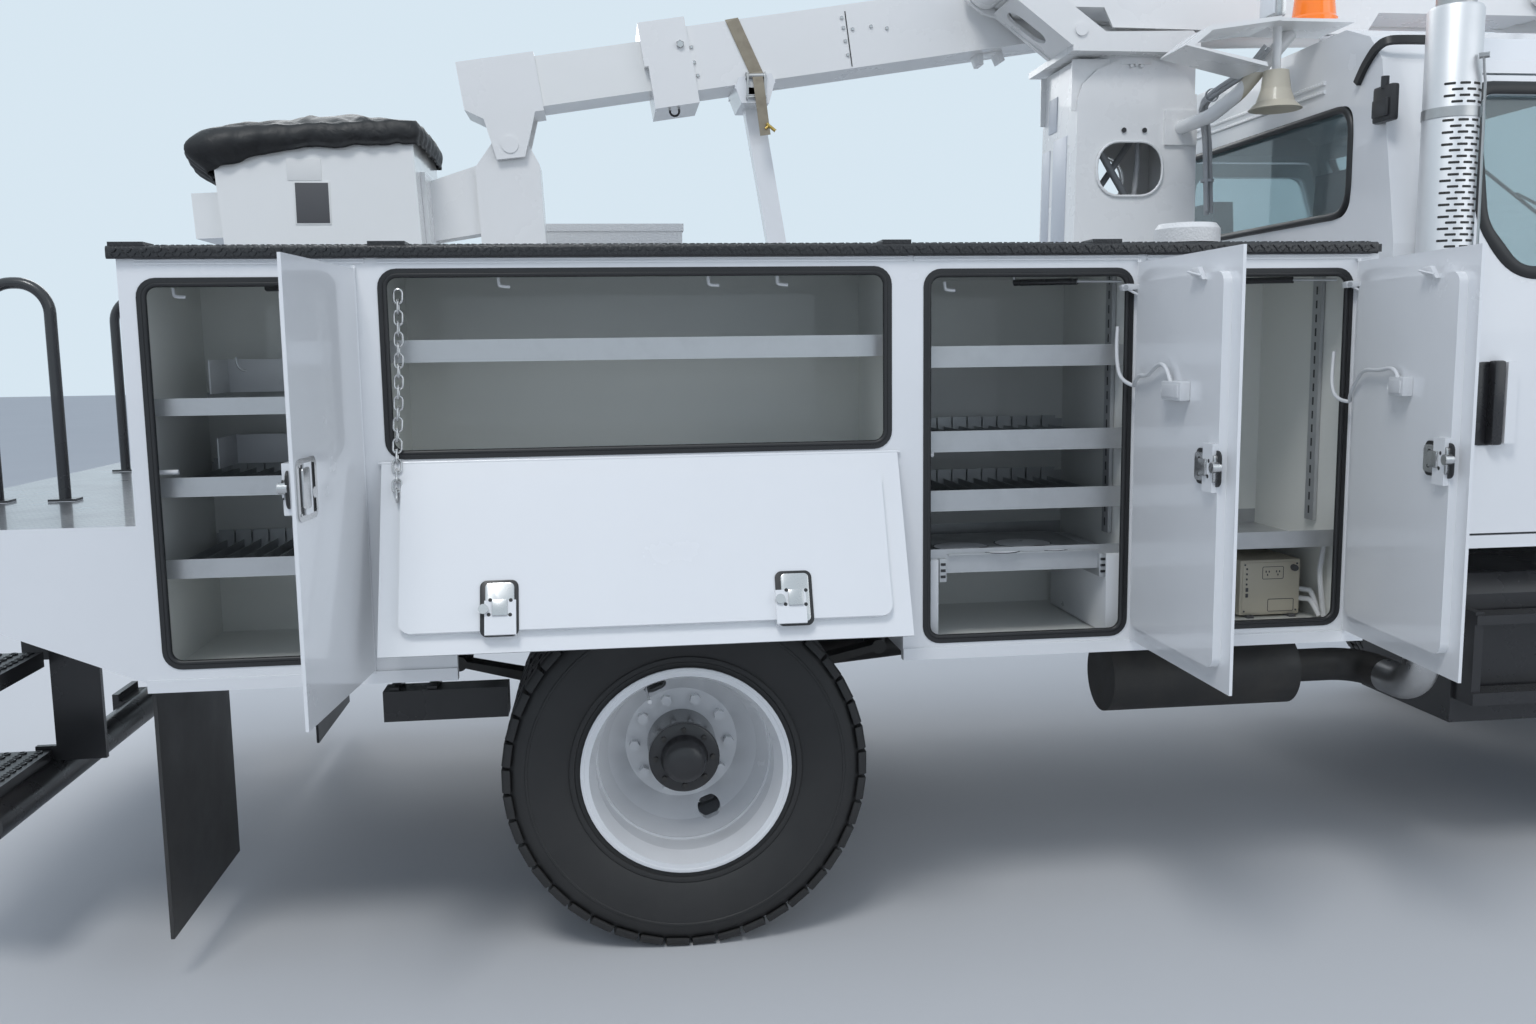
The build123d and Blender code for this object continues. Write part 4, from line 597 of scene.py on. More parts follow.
def hubFinish():
    # white rims with a round black hub
    made = paint.copy()
    made.name = "rims"
    tree = made.node_tree
    at = axes(tree, objectPlace(tree))
    masks = []
    for x in (0, wheelbase):
        middle = place(x, 0, wheelRadius)
        flat = wire(tree, "ShaderNodeCombineXYZ",
                    {"X": sums(tree, "SUBTRACT", at[0], middle.x),
                     "Y": sums(tree, "SUBTRACT", at[2], middle.z)})
        far = wire(tree, "ShaderNodeVectorMath", {0: flat.outputs[0]}, operation="LENGTH").outputs["Value"]
        masks.append(sums(tree, "LESS_THAN", far, hubRadius))
    shader = tree.nodes["Principled BSDF"]
    old = shader.inputs["Base Color"].links[0].from_socket
    tree.links.new(blendColour(tree, combined(tree, "MAXIMUM", masks), old, (0.012, 0.012, 0.013, 1)),
                   shader.inputs["Base Color"])
    return made


# compartments of the service body: inside ends, floor, ceiling; door openings; door skins
compartments = {"rear": (-1398, -842, 862, 1920), "wide": (-798, 610, 1400, 1940),
                "middle": (655, 1292, 862, 1920), "front": (1318, 1978, 862, 1920)}
openings = {"rear": (-1372, -868, 895, 1900), "wide": (-772, 578, 1440, 1920),
            "middle": (687, 1272, 880, 1912), "front": (1350, 1930, 885, 1908)}
doorSkins = {"rear": (-1400, -843, 862, 1930), "wide": (-792, 600, 1425, 1940),
             "middle": (672, 1290, 860, 1935), "front": (1334, 1948, 862, 1935)}
openAngles = {"rear": 85, "wide": 157, "middle": 89, "front": 84}
shelfTable = [("rear", 1600, 46), ("rear", 1390, 52), ("rear", 1170, 52), ("wide", 1745, 60),
              ("middle", 1710, 60), ("middle", 1470, 60), ("middle", 1300, 60),
              ("middle", 1130, 70), ("front", 1150, 50)]
bodyHalf, boxDepth, doorGap, doorSkin, hingeOut = 1219, 609, 3, 8, 5
wheelbase, wheelRadius, hubRadius = 3850, 520, 0.104
bothSides = ((-1, "right"), (1, "left"))

shelfBoxes = [(compartments[name][0] + 1, compartments[name][1] - 1, -bodyHalf + 40,
               -bodyHalf + boxDepth, z - lip - 1, z + 1)
              for name, z, lip in shelfTable]
insideBoxes = [(x0 - 1, x1 + 1, -bodyHalf + 6, -bodyHalf + boxDepth - 10, z0 - 1, z1 + 1)
               for x0, x1, z0, z1 in compartments.values()]
# the insides of the lockers take the shade-tinted copy of the paint: painted shade
lockerInside = twoFinish("body with linings", paint, shadedLining, insideBoxes)
bodyOpen = twoFinish("body with shelves", lockerInside, zinc, shelfBoxes)
deckFinish = twoFinish("tail deck", paint, deckPlate, [(-2260, -1424, -1219, 1219, 1268, 1276)], facing=0.5)
deckBlack = twoFinish("tail deck and handles", deckFinish, blackPaint,
                      [(-2110, -1820, s * 530 - 60, s * 530 + 60, 1273, 1990) for s in (-1, 1)])
cabCloth = twoFinish("cab inside", trim, seatCloth, [(2260, 2960, -800, 800, 1120, 2320)])
tankFinish = twoFinish("tanks and steps", alloy, blackPaint, [(2400, 3200, -1100, -480, 400, 1100)])
rimFinish = hubFinish()
stackFinish = twoFinish("stack and silencer", steel, iron, [(1300, 2400, -960, -300, 400, 1200)])
bracketFinish = twoFinish("lamp bracket", boomPaint, beige, [(1945, 2130, -655, -465, 2470, 2606)])
railFinish = twoFinish("rails and what stands on them", liner, boomPaint,
                       [(-440, 150, 690, 1010, 1983, 2240), (1480, 1690, -1005, -795, 2013, 2090)])

perNode = {"body_box_right": bodyOpen, "body_box_left": lockerInside, "tail_shelf": deckBlack,
           "cab_interior": cabCloth, "side_tanks": tankFinish, "exhaust_stack": stackFinish,
           "lamp_bracket": bracketFinish, "top_rails": railFinish, "front_bumper": bumperFinish}
perNode.update({kind + word: rimFinish for kind in ("rear_rims_", "front_rim_")
                for word in ("left", "right")})
for row in frame["record"]["subparts"]:
    material = perNode.get(row["node"], bySlot[row["material_slot"]])
    node = frame["nodes"][row["node"]]
    node.data.materials.clear()
    node.data.materials.append(material)
print("finishes done")


# locker seals, one round each opening

sealSizes = {"bead": 8, "inset": 6, "corner": 40, "face": 5.6}


def lockerSeals():
    for side, word in bothSides:
        made = Shape()
        for x0, x1, z0, z1 in openings.values():
            inset = sealSizes["inset"]
            loop = roundedBox(x0 + inset, x1 - inset, z0 + inset, z1 - inset, sealSizes["corner"] - inset)
            y = side * (bodyHalf - sealSizes["face"])
            made.sweep([(a, y, b) for a, b in loop],
                       roundSection(sealSizes["bead"]), closed=True, up=(0, 1, 0))
            edge = roundedBox(x0 - 4, x1 + 4, z0 - 4, z1 + 4, sealSizes["corner"] + 4)
            made.sweep([(a, side * (bodyHalf + 1), b) for a, b in edge],
                       [(-6, -1.2), (6, -1.2), (6, 1), (-6, 1)], closed=True, up=(0, 1, 0))
        made.piece("locker_seals_" + word, sealRubber)


lockerSeals()
print("seals done")


# the vinyl cover over the bucket

coverSizes = {"skirt": 105, "crown": 62, "folds": 34, "thick": 1.6, "pull": 16, "out": 6, "corner": 46,
              "mouth": (0.655, 0.61), "wrap": 0.16}
coverRings = {"around": 220, "across": 26, "down": 12}


def onPlatform(x, y, z):
    # the bucket's own square millimetres, leaned as it hangs
    pivot, lean = Vector((levelPin[0], 0, levelPin[1])), radians(bucketLean)
    flat = Vector((x, y, z)) - pivot
    return Vector((flat.x * cos(lean) - flat.z * sin(lean), flat.y,
                   flat.x * sin(lean) + flat.z * cos(lean))) + pivot


boomMiddle, bucketHalf, boomPin, boomDrop, bucketLean = 154, 305, (3300, 3220), 8.5, 2.6
boomUp = (-cos(radians(boomDrop)), -sin(radians(boomDrop)))
boomOff = (-sin(radians(boomDrop)), cos(radians(boomDrop)))


def onBoom(s, t):
    return (boomPin[0] + boomUp[0] * s + boomOff[0] * t, boomPin[1] + boomUp[1] * s + boomOff[1] * t)


outerLong, endSleeve, innerShow = 3230, 150, 366
levelPin = onBoom(outerLong + endSleeve + innerShow + 140, -203)
boomSide = (44, 264)
bucketTop, bucketX = levelPin[1] + 56, (levelPin[0] - 965, levelPin[0] - 310)


def wave(x, y, z):
    return noise.noise(Vector((x, y, z)))


def alongLoop(edge):
    # a function that gives the place at a share of the way round a closed outline
    lengths = [0]
    for a, b in zip(edge, edge[1:] + edge[:1]):
        lengths.append(lengths[-1] + hypot(b[0] - a[0], b[1] - a[1]))

    def at(share):
        want = share * lengths[-1]
        i = next(i for i in range(len(edge)) if want <= lengths[i + 1] + 1e-9)
        k = (want - lengths[i]) / max(lengths[i + 1] - lengths[i], 1e-9)
        a, b = edge[i], edge[(i + 1) % len(edge)]
        return Vector((a[0] + (b[0] - a[0]) * k, a[1] + (b[1] - a[1]) * k, 0))

    return at


def bucketCover():
    # a crowned top, a rolled hem below the lip, folds that run from the hem
    make = bmesh.new()
    size = coverSizes
    around, across, down = coverRings.values()
    x0, x1 = bucketX[0] - size["out"], bucketX[1] + size["out"]
    y0, y1 = boomMiddle - bucketHalf - size["out"], boomMiddle + bucketHalf + size["out"]
    middle = Vector(((x0 + x1) / 2, boomMiddle, 0))
    rim = alongLoop(roundedBox(x0, x1, y0, y1, size["corner"], 8))
    rings = []
    top = make.verts.new(onPlatform(middle.x, middle.y, bucketTop + size["crown"] * 0.75))
    for ring in range(1, across + down + 1):
        row = []
        for k in range(around):
            p = rim(k / around)
            outward = (p - middle).normalized()
            fold = wave(outward.x * 3.1, outward.y * 3.1, 7.0) * 0.6
            fine = wave(p.x * 0.021, p.y * 0.021, ring * 0.11)
            ruck = sin(k / around * tau * size["folds"] + 2.2 * fold + 1.5 * wave(k * 0.07, 1.3, 0))
            if ring <= across:
                r = ring / across
                at = middle.lerp(p, r ** 0.9)
                height = size["crown"] * (1 - r ** 3.2) * (0.75 + 0.5 * wave(at.x * 0.004, at.y * 0.004, 2.0))
                small = wave(at.x * 0.012, at.y * 0.012, 5.0)
                height += 15 * (r ** 2) * fine + 8 * r ** 4 * ruck + 10 * small
                height = max(height, 4)
            else:
                d = (ring - across) / down
                rear = max(0.0, -outward.x) ** 2
                bulge = sin(pi * min(d * 1.05, 1))
                out = 10 + size["pull"] * bulge + (5 + 8 * rear) * ruck * (0.35 + 0.65 * d)
                out += 92 * rear * bulge * (1 + 0.6 * fold)
                if d > 0.86:
                    out += 5
                at = p + outward * max(out, 6)
                height = 8 + 8 * fine - size["skirt"] * (0.8 + 0.18 * fold + 1.0 * rear) * d
            row.append(make.verts.new(onPlatform(at.x, at.y, bucketTop + height)))
        rings.append(row)
    for k in range(around):
        make.faces.new((top, rings[0][k], rings[0][(k + 1) % around]))
    loft(make, rings, capped=False)
    cover = Shape().add(make).piece("cover_sheet", vinyl, "platform", replaces=("bucket_cover",), smooth=180)
    solid = cover.modifiers.new("thickness", "SOLIDIFY")
    solid.thickness = size["thick"] / 1000
    solid.offset = 1


wrinkle = vinyl.node_tree
coords = objectPlace(wrinkle)
crease = wire(wrinkle, "ShaderNodeTexNoise",
              {"Vector": coords, "Scale": 26, "Detail": 4, "Distortion": 1.4}).outputs[0]
first = wrinkle.nodes["Principled BSDF"].inputs["Normal"].links[0].from_socket
relief = wire(wrinkle, "ShaderNodeBump",
              {"Height": crease, "Strength": 0.5, "Distance": 0.006, "Normal": first})
wrinkle.links.new(relief.outputs["Normal"], wrinkle.nodes["Principled BSDF"].inputs["Normal"])
bucketCover()
print("cover done")


# locker hardware

def doorPose(name):
    # carries a shut right-hand door's millimetres to where that door stands open
    x0, x1, z0, z1 = doorSkins[name]
    level = -(bodyHalf + doorGap + hingeOut)
    at, axis = (Vector((0, level, z0 - 4)), "X") if name == "wide" else (Vector((x1 + 4, level, 0)), "Z")
    turn = Matrix.Rotation(radians(openAngles[name]), 4, axis)
    return Matrix.Translation(at) @ turn @ Matrix.Translation(-at)


bodyOf = {node: body for body, nodes in frame["record"]["behaviour"]["bodies"].items() for node in nodes}
mirrorY = Matrix.Diagonal((1, -1, 1, 1))
# door latches: middle along and up, on the shut door; the wide door has two and they lie across
latchTable = {"rear": [(-1322, 1408)], "wide": [(-485, 1829), (281, 1831)],
              "middle": [(768, 1408)], "front": [(1430, 1412)]}
# half across and half up of a latch, inside and then outside the door
latchSizes = {"rear": (34, 44, 62, 64), "wide": (43, 74, 66, 60),
              "middle": (60, 44, 62, 64), "front": (60, 44, 62, 64)}


def doorLatches():
    inner, outer = -(bodyHalf + doorGap - 22), -(bodyHalf + doorGap + doorSkin)
    for name, places in latchTable.items():
        for word in ("right", "left"):
            pose = doorPose(name) if word == "right" else mirrorY
            dark, metal = Shape(pose), Shape(pose)
            w, t, f, h = latchSizes[name]
            for x, z in places:
                dark.plate(roundedBox(x - w - 6, x + w + 6, z - t, z + t, 18), "Y", inner - 1, inner + 4)
                metal.plate(roundedBox(x - w + 8, x + w - 4, z - t + 9, z + t - 9, 12),
                            "Y", inner, inner + 13, edge=2)
                metal.rod((x - w + 4, inner, z + 4), (x - w + 4, inner + 22, z + 4), 13)
                metal.block(x - 18, x + 22, inner + 12, inner + 20, z - 20, z + 22, edge=3)
                for a, b in ((-26, 18), (28, 20), (-22, -20), (30, -18)):
                    dark.rod((x + a, inner + 12, z + b), (x + a, inner + 14.5, z + b), 5, sides=10)
                ring = roundedBox(x - f, x + f, z - h, z + h, 14)
                metal.sweep([(a, outer - 2, b) for a, b in ring],
                            [(-7, -2), (7, -2), (5, 3), (-5, 3)], closed=True, up=(0, 1, 0))
                dark.plate(roundedBox(x - f + 5, x + f - 5, z - h + 5, z + h - 5, 10),
                           "Y", outer - 1.5, outer + 1)
                metal.plate(roundedBox(x - f + 18, x + 8, z - h + 20, z + h - 14, 9),
                            "Y", outer - 9, outer + 1, edge=2.5)
                metal.rod((x + f - 26, outer - 8, z - 12), (x + f - 26, outer, z - 12), 13)
                for a in (x - f * 0.86, x + f * 0.86):
                    for b in (z - h * 0.86, z + h * 0.86):
                        metal.rod((a, outer - 6, b), (a, outer - 2, b), 4, sides=10)
            end = name + "_" + word
            dark.piece("latch_gasket_" + end, sealRubber, bodyOf["locker_door_" + end])
            metal.piece("latch_" + end, latchMetal, bodyOf["locker_door_" + end])


def compartmentFittings():
    white, metal, dark = Shape(), Shape(), Shape()
    # hooks under the ceilings: along, height
    for x, z in ((751, 1889), (-1307, 1887), (-475, 1908), (88, 1908), (278, 1908)):
        white.tube(smoothLine([(x, -1166, z), (x, -1166, z - 14), (x + 4, -1166, z - 24),
                               (x + 30, -1166, z - 24)]), 4.5, 8)
    # striker pins beside the openings: from, to, height
    for x0, x1, z in ((684, 719, 1405), (-1363, -1324, 1407), (600, 636, 1412), (-822, -786, 1418)):
        white.rod((x0 - 14, -1170, z), (x1, -1170, z), 6.5, sides=14, edge=1)
    # gas stays under the ceilings: hinge end, where the thick part starts and ends
    for x, reach in ((1262, 260), (1912, 240), (-880, 230)):
        a, b = Vector((x, -1180, 1886)), Vector((x - reach * 0.42, -1120, 1890))
        c = Vector((x - reach, -1010, 1893))
        metal.rod(a, b, 4, sides=12)
        dark.rod(b, c, 9.5, sides=16, edge=1)
        metal.rod(c + Vector((0, 0, -2)), c + Vector((0, 0, 26)), 5, sides=10)
    # stay brackets and wire beside the hinges
    for x, z in ((1236, 1872), (1902, 1876)):
        white.plate([(x, z), (x + 16, z + 4), (x + 74, z + 2), (x + 70, z - 8), (x + 24, z - 14),
                     (x + 4, z - 16)], "Y", -1246, -1222)
        white.rod((x + 16, -1236, z - 8), (x + 76, -1262, z - 46), 3.5, sides=8)
        metal.rod((x + 10, -1250, z - 6), (x + 10, -1218, z - 6), 7, sides=12)
    # white stands, slides and the sheet with round holes of the lowest tray; each hole is a white disc in a
    # dark ring of painted shade
    for x0, x1 in ((662, 735), (1237, 1285)):
        white.block(x0, x1, -1172, -700, 866, 1102)
    for x0, x1 in ((739, 760), (1217, 1238)):
        metal.block(x0, x1, -1168, -720, 1036, 1104, edge=2)
        for z in (1052, 1070, 1088):
            dark.block(x0 + 3, x1 - 3, -1170, -1160, z - 4, z + 4)
    metal.block(766, 1214, -1166, -760, 1112, 1116)
    for x, y, r in ((840, -1030, 82), (1040, -1000, 84), (930, -1110, 66), (1090, -1104, 58)):
        dark.rod((x, y, 1115.6), (x, y, 1117), r + 2.5, sides=48)
        white.rod((x, y, 1116.4), (x, y, 1117.6), r - 2.5, sides=48)
    # slotted strips in the corners, each slot a black block of painted shade
    for x, y, z0, z1 in ((1284, -1050, 1150, 1915), (1970, -990, 1160, 1915), (664, -1050, 1150, 1915)):
        metal.block(x - 6, x + 6, y - 24, y + 24, z0, z1, edge=1)
        for k in range(int((z1 - z0) / 42)):
            dark.block(x - 6.6, x + 6.6, y - 4, y + 4, z0 + 20 + k * 42, z0 + 44 + k * 42, edge=0)
    # notched lips at the back of the shelves: compartment, top
    for name, z in (("middle", 1470), ("middle", 1300), ("rear", 1170), ("rear", 1390)):
        x0, x1 = compartments[name][:2]
        count = int((x1 - x0 - 20) / 50)
        for k in range(count):
            metal.block(x0 + 12 + k * 50, x0 + 57 + k * 50, -652, -648, z - 40, z + 12, edge=0)
            metal.block(x0 + 33 + k * 50, x0 + 35 + k * 50, -1140, -652, z - 44, z - 18, edge=0)
    # upright bins on the rear shelves: ends, foot, top
    for x0, x1, z0, z1 in ((-1300, -1100, 1604, 1700), (-1290, -1100, 1394, 1480)):
        white.block(x0, x1, -760, -756, z0, z1)
        white.block(x0, x0 + 4, -940, -756, z0, z1)
    metal.tube(smoothLine([(-1225, -935, 1706), (-1225, -935, 1670), (-1200, -935, 1668)]), 4, 8)
    white.piece("locker_fittings", lockerWhite)
    metal.piece("locker_slides", zinc)
    # black gas stays and slide marks; the strips' slots and the tray's hole rims are painted shade
    dark.piece("locker_dark_parts", blackPaint)


def inverterBox():
    # the beige converter in the front locker, with blank panels, sockets, a knob and its leads
    case, marks, leads = Shape(), Shape(), Shape()
    x0, x1, y0, y1, z0, z1 = 1730, 1928, -1020, -760, 868, 1042
    case.block(x0, x1, y0, y1, z0, z1, edge=7)
    case.block(x0 + 8, x1 - 8, y0 - 3, y0 + 4, z0 + 8, z1 - 8, edge=2)
    for k, z in enumerate((1012, 996, 980, 964, 944, 926)):
        marks.block(x0 + 18, x0 + 23 + (k > 3) * 3, y0 - 5, y0, z, z + 6 + (k > 3) * 6, edge=0.6)
    for a, b, c, d in ((x0 + 72, x0 + 140, 982, 1020), (x0 + 92, x0 + 176, 880, 918)):
        marks.sweep([(u, y0 - 3.4, v) for u, v in roundedBox(a, b, c, d, 4)],
                    [(-0.8, -0.5), (0.8, -0.5), (0.8, 0.5), (-0.8, 0.5)], closed=True, up=(0, 1, 0))
    for u in (x0 + 88, x0 + 122):
        for du, dv in ((-5, 4), (5, 4), (0, -6)):
            marks.block(u + du - 1.5, u + du + 1.5, y0 - 5, y0, 1001 + dv - 3, 1001 + dv + 3, edge=0.4)
    marks.rod((x1 - 26, y0 - 16, 1016), (x1 - 26, y0 - 2, 1016), 10, sides=20, edge=1.5)
    for u in (x0 + 14, x1 - 14):
        for v in (z0 + 14, z1 - 14):
            marks.rod((u, y0 - 4.5, v), (u, y0 - 2, v), 3, sides=10)
    for u in (x0 + 20, x1 - 40):
        marks.block(u, u + 22, y0 - 16, y1, z0 - 6, z0 + 2)
    for start, bend, end in (((1924, -1000, 946), (1958, -1040, 944), (1964, -1070, 872)),
                             ((1924, -1000, 916), (1950, -1050, 918), (1960, -1080, 872)),
                             ((1962, -1090, 1110), (1948, -1090, 1000), (1966, -1096, 872))):
        leads.tube(smoothLine([start, Vector(start).lerp(Vector(bend), 0.6), bend, end]), 8, 10)
    case.piece("converter_case", beige)
    marks.piece("converter_marks", trim)
    leads.piece("converter_leads", cableWhite)


# a lead to a socket box on each of two doors: points on the body, then on the shut door, and the box
leadTable = {
    "middle": ([(1250, -1188, 1758), (1244, -1196, 1725), (1238, -1215, 1660), (1240, -1236, 1612)],
               [(1262, -1208, 1590), (1225, -1190, 1602), (1181, -1186, 1626), (1122, -1186, 1622),
                (1070, -1184, 1650), (1020, -1184, 1658), (990, -1186, 1634), (975, -1188, 1606)],
               (885, 1001, 1565, 1613)),
    "front": ([(1908, -1188, 1680), (1902, -1194, 1640), (1884, -1222, 1580), (1890, -1240, 1545)],
              [(1925, -1206, 1534), (1907, -1192, 1552), (1862, -1188, 1600), (1815, -1186, 1632),
               (1730, -1186, 1628), (1668, -1186, 1638), (1638, -1187, 1626), (1628, -1188, 1606)],
              (1575, 1651, 1564, 1614))}
leadThick = 11


def doorCables():
    for name, (fixed, carried, (x0, x1, z0, z1)) in leadTable.items():
        pose = doorPose(name)
        line = smoothLine(fixed + [pose @ Vector(p) for p in carried])
        body = bodyOf["locker_door_" + name + "_right"]
        lead = Shape().tube(line, leadThick / 2, 10).piece("door_lead_" + name, cableWhite, None)
        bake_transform(lead)
        sockets, clips = Shape(pose), Shape(pose)
        sockets.block(x0, x1, -1200, -1172, z0, z1, edge=4)
        sockets.block(x0 + 10, x1 - 10, -1173, -1169, z0 + 8, z1 - 8, edge=1)
        sockets.rod((x1 + 14, -1200, z0 + 22), (x1 + 14, -1186, z0 + 22), 14, sides=20, edge=2)
        sockets.piece("socket_box_" + name, cableWhite, body)
        x = doorSkins[name][0] + 172
        clips.plate([(x - 36, 1862), (x + 36, 1876), (x + 30, 1892), (x - 6, 1894)], "Y", -1200, -1188)
        clips.rod((x - 26, -1188, 1872), (x + 30, -1180, 1884), 3, sides=8)
        clips.piece("door_clip_" + name, lockerWhite, body)


doorLatches()
compartmentFittings()
inverterBox()
doorCables()
print("hardware done")


# tyres and hubs

# nodes, place along the truck, middles across it
tyreTable = [(kind, word, x, [side * y for y in middles])
             for kind, x, middles in (("rear", 0, (1060, 725)), ("front", wheelbase, (1000,)))
             for side, word in bothSides]
# half of the outline: across from the tread's middle, radius
tyreHalf = [(40, 508), (72, 508), (100, 507), (114, 502), (126, 494), (134, 480), (138, 462), (139.5, 455),
            (142, 453), (142, 448), (140, 446), (140, 425), (138.5, 400), (134, 376), (128, 356), (122, 340),
            (118.5, 334), (121, 331), (122, 325), (120, 318), (115, 315), (114, 286)]
treadSizes = {"count": 42, "long": 66, "foot": 500, "top": 18.6}


def dressTyres():
    outline = [(r, a) for a, r in tyreHalf] + [(r, -a) for a, r in tyreHalf[::-1]]
    for kind, word, x, middles in tyreTable:
        node = kind + ("_tyres_" if kind == "rear" else "_tyre_") + word
        rubber, shoulders, centres = Shape(), [], []
        for y in middles:
            rubber.lathe(outline, (x, y, wheelRadius), (0, 1, 0), sides=96, closed=True)
            for k in range(treadSizes["count"]):
                for shift, across, rows in ((0, 114, shoulders), (0.5, 50, centres), (0, 0, centres)):
                    turn = tau * (k + shift) / treadSizes["count"]
                    out = Vector((cos(turn), 0, sin(turn)))
                    for side in ((-1, 1) if across else (1,)):
                        rows.append((Vector((x, y + side * across, wheelRadius)) + out * treadSizes["foot"],
                                     out, Vector((0, side, 0))))
        rubber.piece("tyre_casing_" + kind + "_" + word, tyreRubber,
                     bodyOf[node], replaces=(node,), smooth=30)
        half, top = treadSizes["long"] / 2, treadSizes["top"]
        lug = Shape().plate([(-30, -4), (-30, top), (14, top), (21, top - 5), (25, top - 16),
                             (26.5, top - 24), (20, top - 26), (10, 0)], "Y", -half, half, edge=2)
        scatter("tyre_shoulder_lugs_" + kind + "_" + word, lug, shoulders, tyreRubber, bodyOf[node])
        rib = Shape().plate([(-20, -half), (20, -half + 5), (22, -8), (16, 0), (22, 8), (20, half - 5),
                             (-20, half), (-22, 10), (-16, 0), (-22, -10)], "Z", -2, top, edge=1.2)
        scatter("tyre_centre_ribs_" + kind + "_" + word, rib, centres, tyreRubber, bodyOf[node])


# outline of the black cap with its domed end, and where its flange, face and ring of bolts lie
hubTable = {
    "rear": {"cap": [(104.6, 0), (104.6, 14), (98, 19), (70, 20), (66, 26), (64, 54),
                     (58, 70), (44, 80), (20, 84), (0, 85)],
             "foot": 1042, "face": 1061, "ring": 84},
    "front": {"cap": [(82.6, 0), (82.6, 20), (77, 25), (58, 26), (55, 50), (44, 60), (20, 64), (0, 65)],
              "foot": 1203, "face": 1228, "ring": 69}}
rimLip = [(299, -2.5), (301.5, 0), (301, 4), (297, 6), (291, 5), (288, 1), (289, -4), (294, -3)]
valveAngle = radians(118)


def hubCaps():
    for kind, word, x, middles in tyreTable:
        side = -1 if word == "right" else 1
        hub, end = hubTable[kind], kind + "_" + word
        body = bodyOf[kind + ("_rims_" if kind == "rear" else "_rim_") + word]
        cap, small, rims, valve = Shape(), Shape(), Shape(), Shape()
        cap.lathe(hub["cap"], (x, side * hub["foot"], wheelRadius), (0, side, 0), sides=48)
        for k in range(8):
            a, b = x + hub["ring"] * cos(tau * k / 8), wheelRadius + hub["ring"] * sin(tau * k / 8)
            small.rod((a, side * (hub["face"] - 3), b),
                      (a, side * (hub["face"] + 7), b), 8.5, sides=6, edge=1)
        for y in middles:
            for out in (-1, 1):
                rims.lathe(rimLip, (x, y + out * 121, wheelRadius), (0, out, 0), sides=72, closed=True)
        outer = middles[0]
        rims.lathe([(262, 0), (262, 3), (252, 4), (252, 0)], (x, outer - side * 24, wheelRadius),
                   (0, side, 0), sides=72, closed=True)
        # the valve stands through a hand hole: radius and place across at each end of its stem and cap
        for r0, out0, r1, out1, thick, edge in ((226, -60, 212, 30, 4, 0), (212, 28, 210, 44, 5.5, 0.8)):
            ends = [(x + r * cos(valveAngle), outer + side * out, wheelRadius + r * sin(valveAngle))
                    for r, out in ((r0, out0), (r1, out1))]
            valve.rod(*ends, thick, sides=12, edge=edge)
        for shape, name, material in ((cap, "hub_cap_", blackPaint), (small, "hub_bolts_", iron),
                                      (rims, "rim_lips_", paint), (valve, "valve_", bright)):
            shape.piece(name + end, material, body)


dressTyres()
hubCaps()
print("wheels done")


# exhaust guard, cab seals and fittings

stack = {"x": 2272, "y": -1135, "radius": 76, "low": 1560, "high": 2650,
         "slots": 2437, "rows": 49, "pitch": 17}
cabSizes = {"rear": 2168, "half": 1048, "top": 2690}
screen = {"foot": 3440, "low": 1900, "run": 410, "belowTop": 60}


def exhaustGuard():
    x, y, r = stack["x"], stack["y"], stack["radius"]
    shell, slots, strap = Shape(), Shape(), Shape()
    shell.lathe([(r - 4, stack["low"]), (r, stack["low"] + 3), (r, stack["high"]),
                 (r - 5, stack["high"] + 10), (57, stack["high"] + 14)], (x, y, 0), sides=64)
    shell.lathe([(57, 0), (60, 2), (60, 22), (57, 24)], (x, y, 2760), sides=48)
    # rows of slots that bend with the shell, each a strip of short flats, in black: painted shade standing
    # for the holes
    for row in range(stack["rows"]):
        z = stack["slots"] - row * stack["pitch"]
        for k in range(3):
            turn = radians(-129 + 31 * k + (15.5 if row % 2 else 0))
            part = bmesh.new()
            rings = []
            for t in (-1, -0.9, -0.6, 0, 0.6, 0.9, 1):
                lean = turn + t * 15 / r
                way, h = Vector((cos(lean), sin(lean), 0)), 1.6 if abs(t) == 1 else 3.4
                rings.append([part.verts.new(Vector((x, y, z + up)) + way * (r + out))
                              for out, up in ((0.6, h), (0.6, -h), (-2, -h), (-2, h))])
            loft(part, rings)
            slots.add(part)
    a = radians(-44)
    edge = Vector((cos(a), sin(a), 0))
    points = [Vector((x, y, 0)) + edge * (r + out) + Vector(at)
              for out, at in ((6, (-26, -30, 2506)), (8, (-18, -20, 2470)),
                              (12, (0, 0, 2424)), (12, (0, 0, 1600)))]
    strap.sweep(smoothLine(points), [(-9, -2.5), (9, -2.5), (9, 2.5), (-9, 2.5)], up=tuple(edge))
    clamp = points[0] + Vector((0, 0, 4))
    strap.rod(clamp - edge * 12, clamp + edge * 14, 8, sides=6, edge=1)
    for z in (2360, 1640):
        strap.lathe([(r + 0.2, -14), (r + 2.4, -14), (r + 2.4, 14), (r + 0.2, 14)],
                    (x, y, z), sides=64, closed=True)
        strap.rod((x + 40, y + r + 14, z), (x + 68, y + r + 14, z), 6, sides=12)
    shell.piece("stack_guard", guardAlloy)
    # the slot inlays are black: painted shade in place of holes
    slots.piece("stack_slots", iron, smooth=60)
    strap.piece("stack_straps", steel)


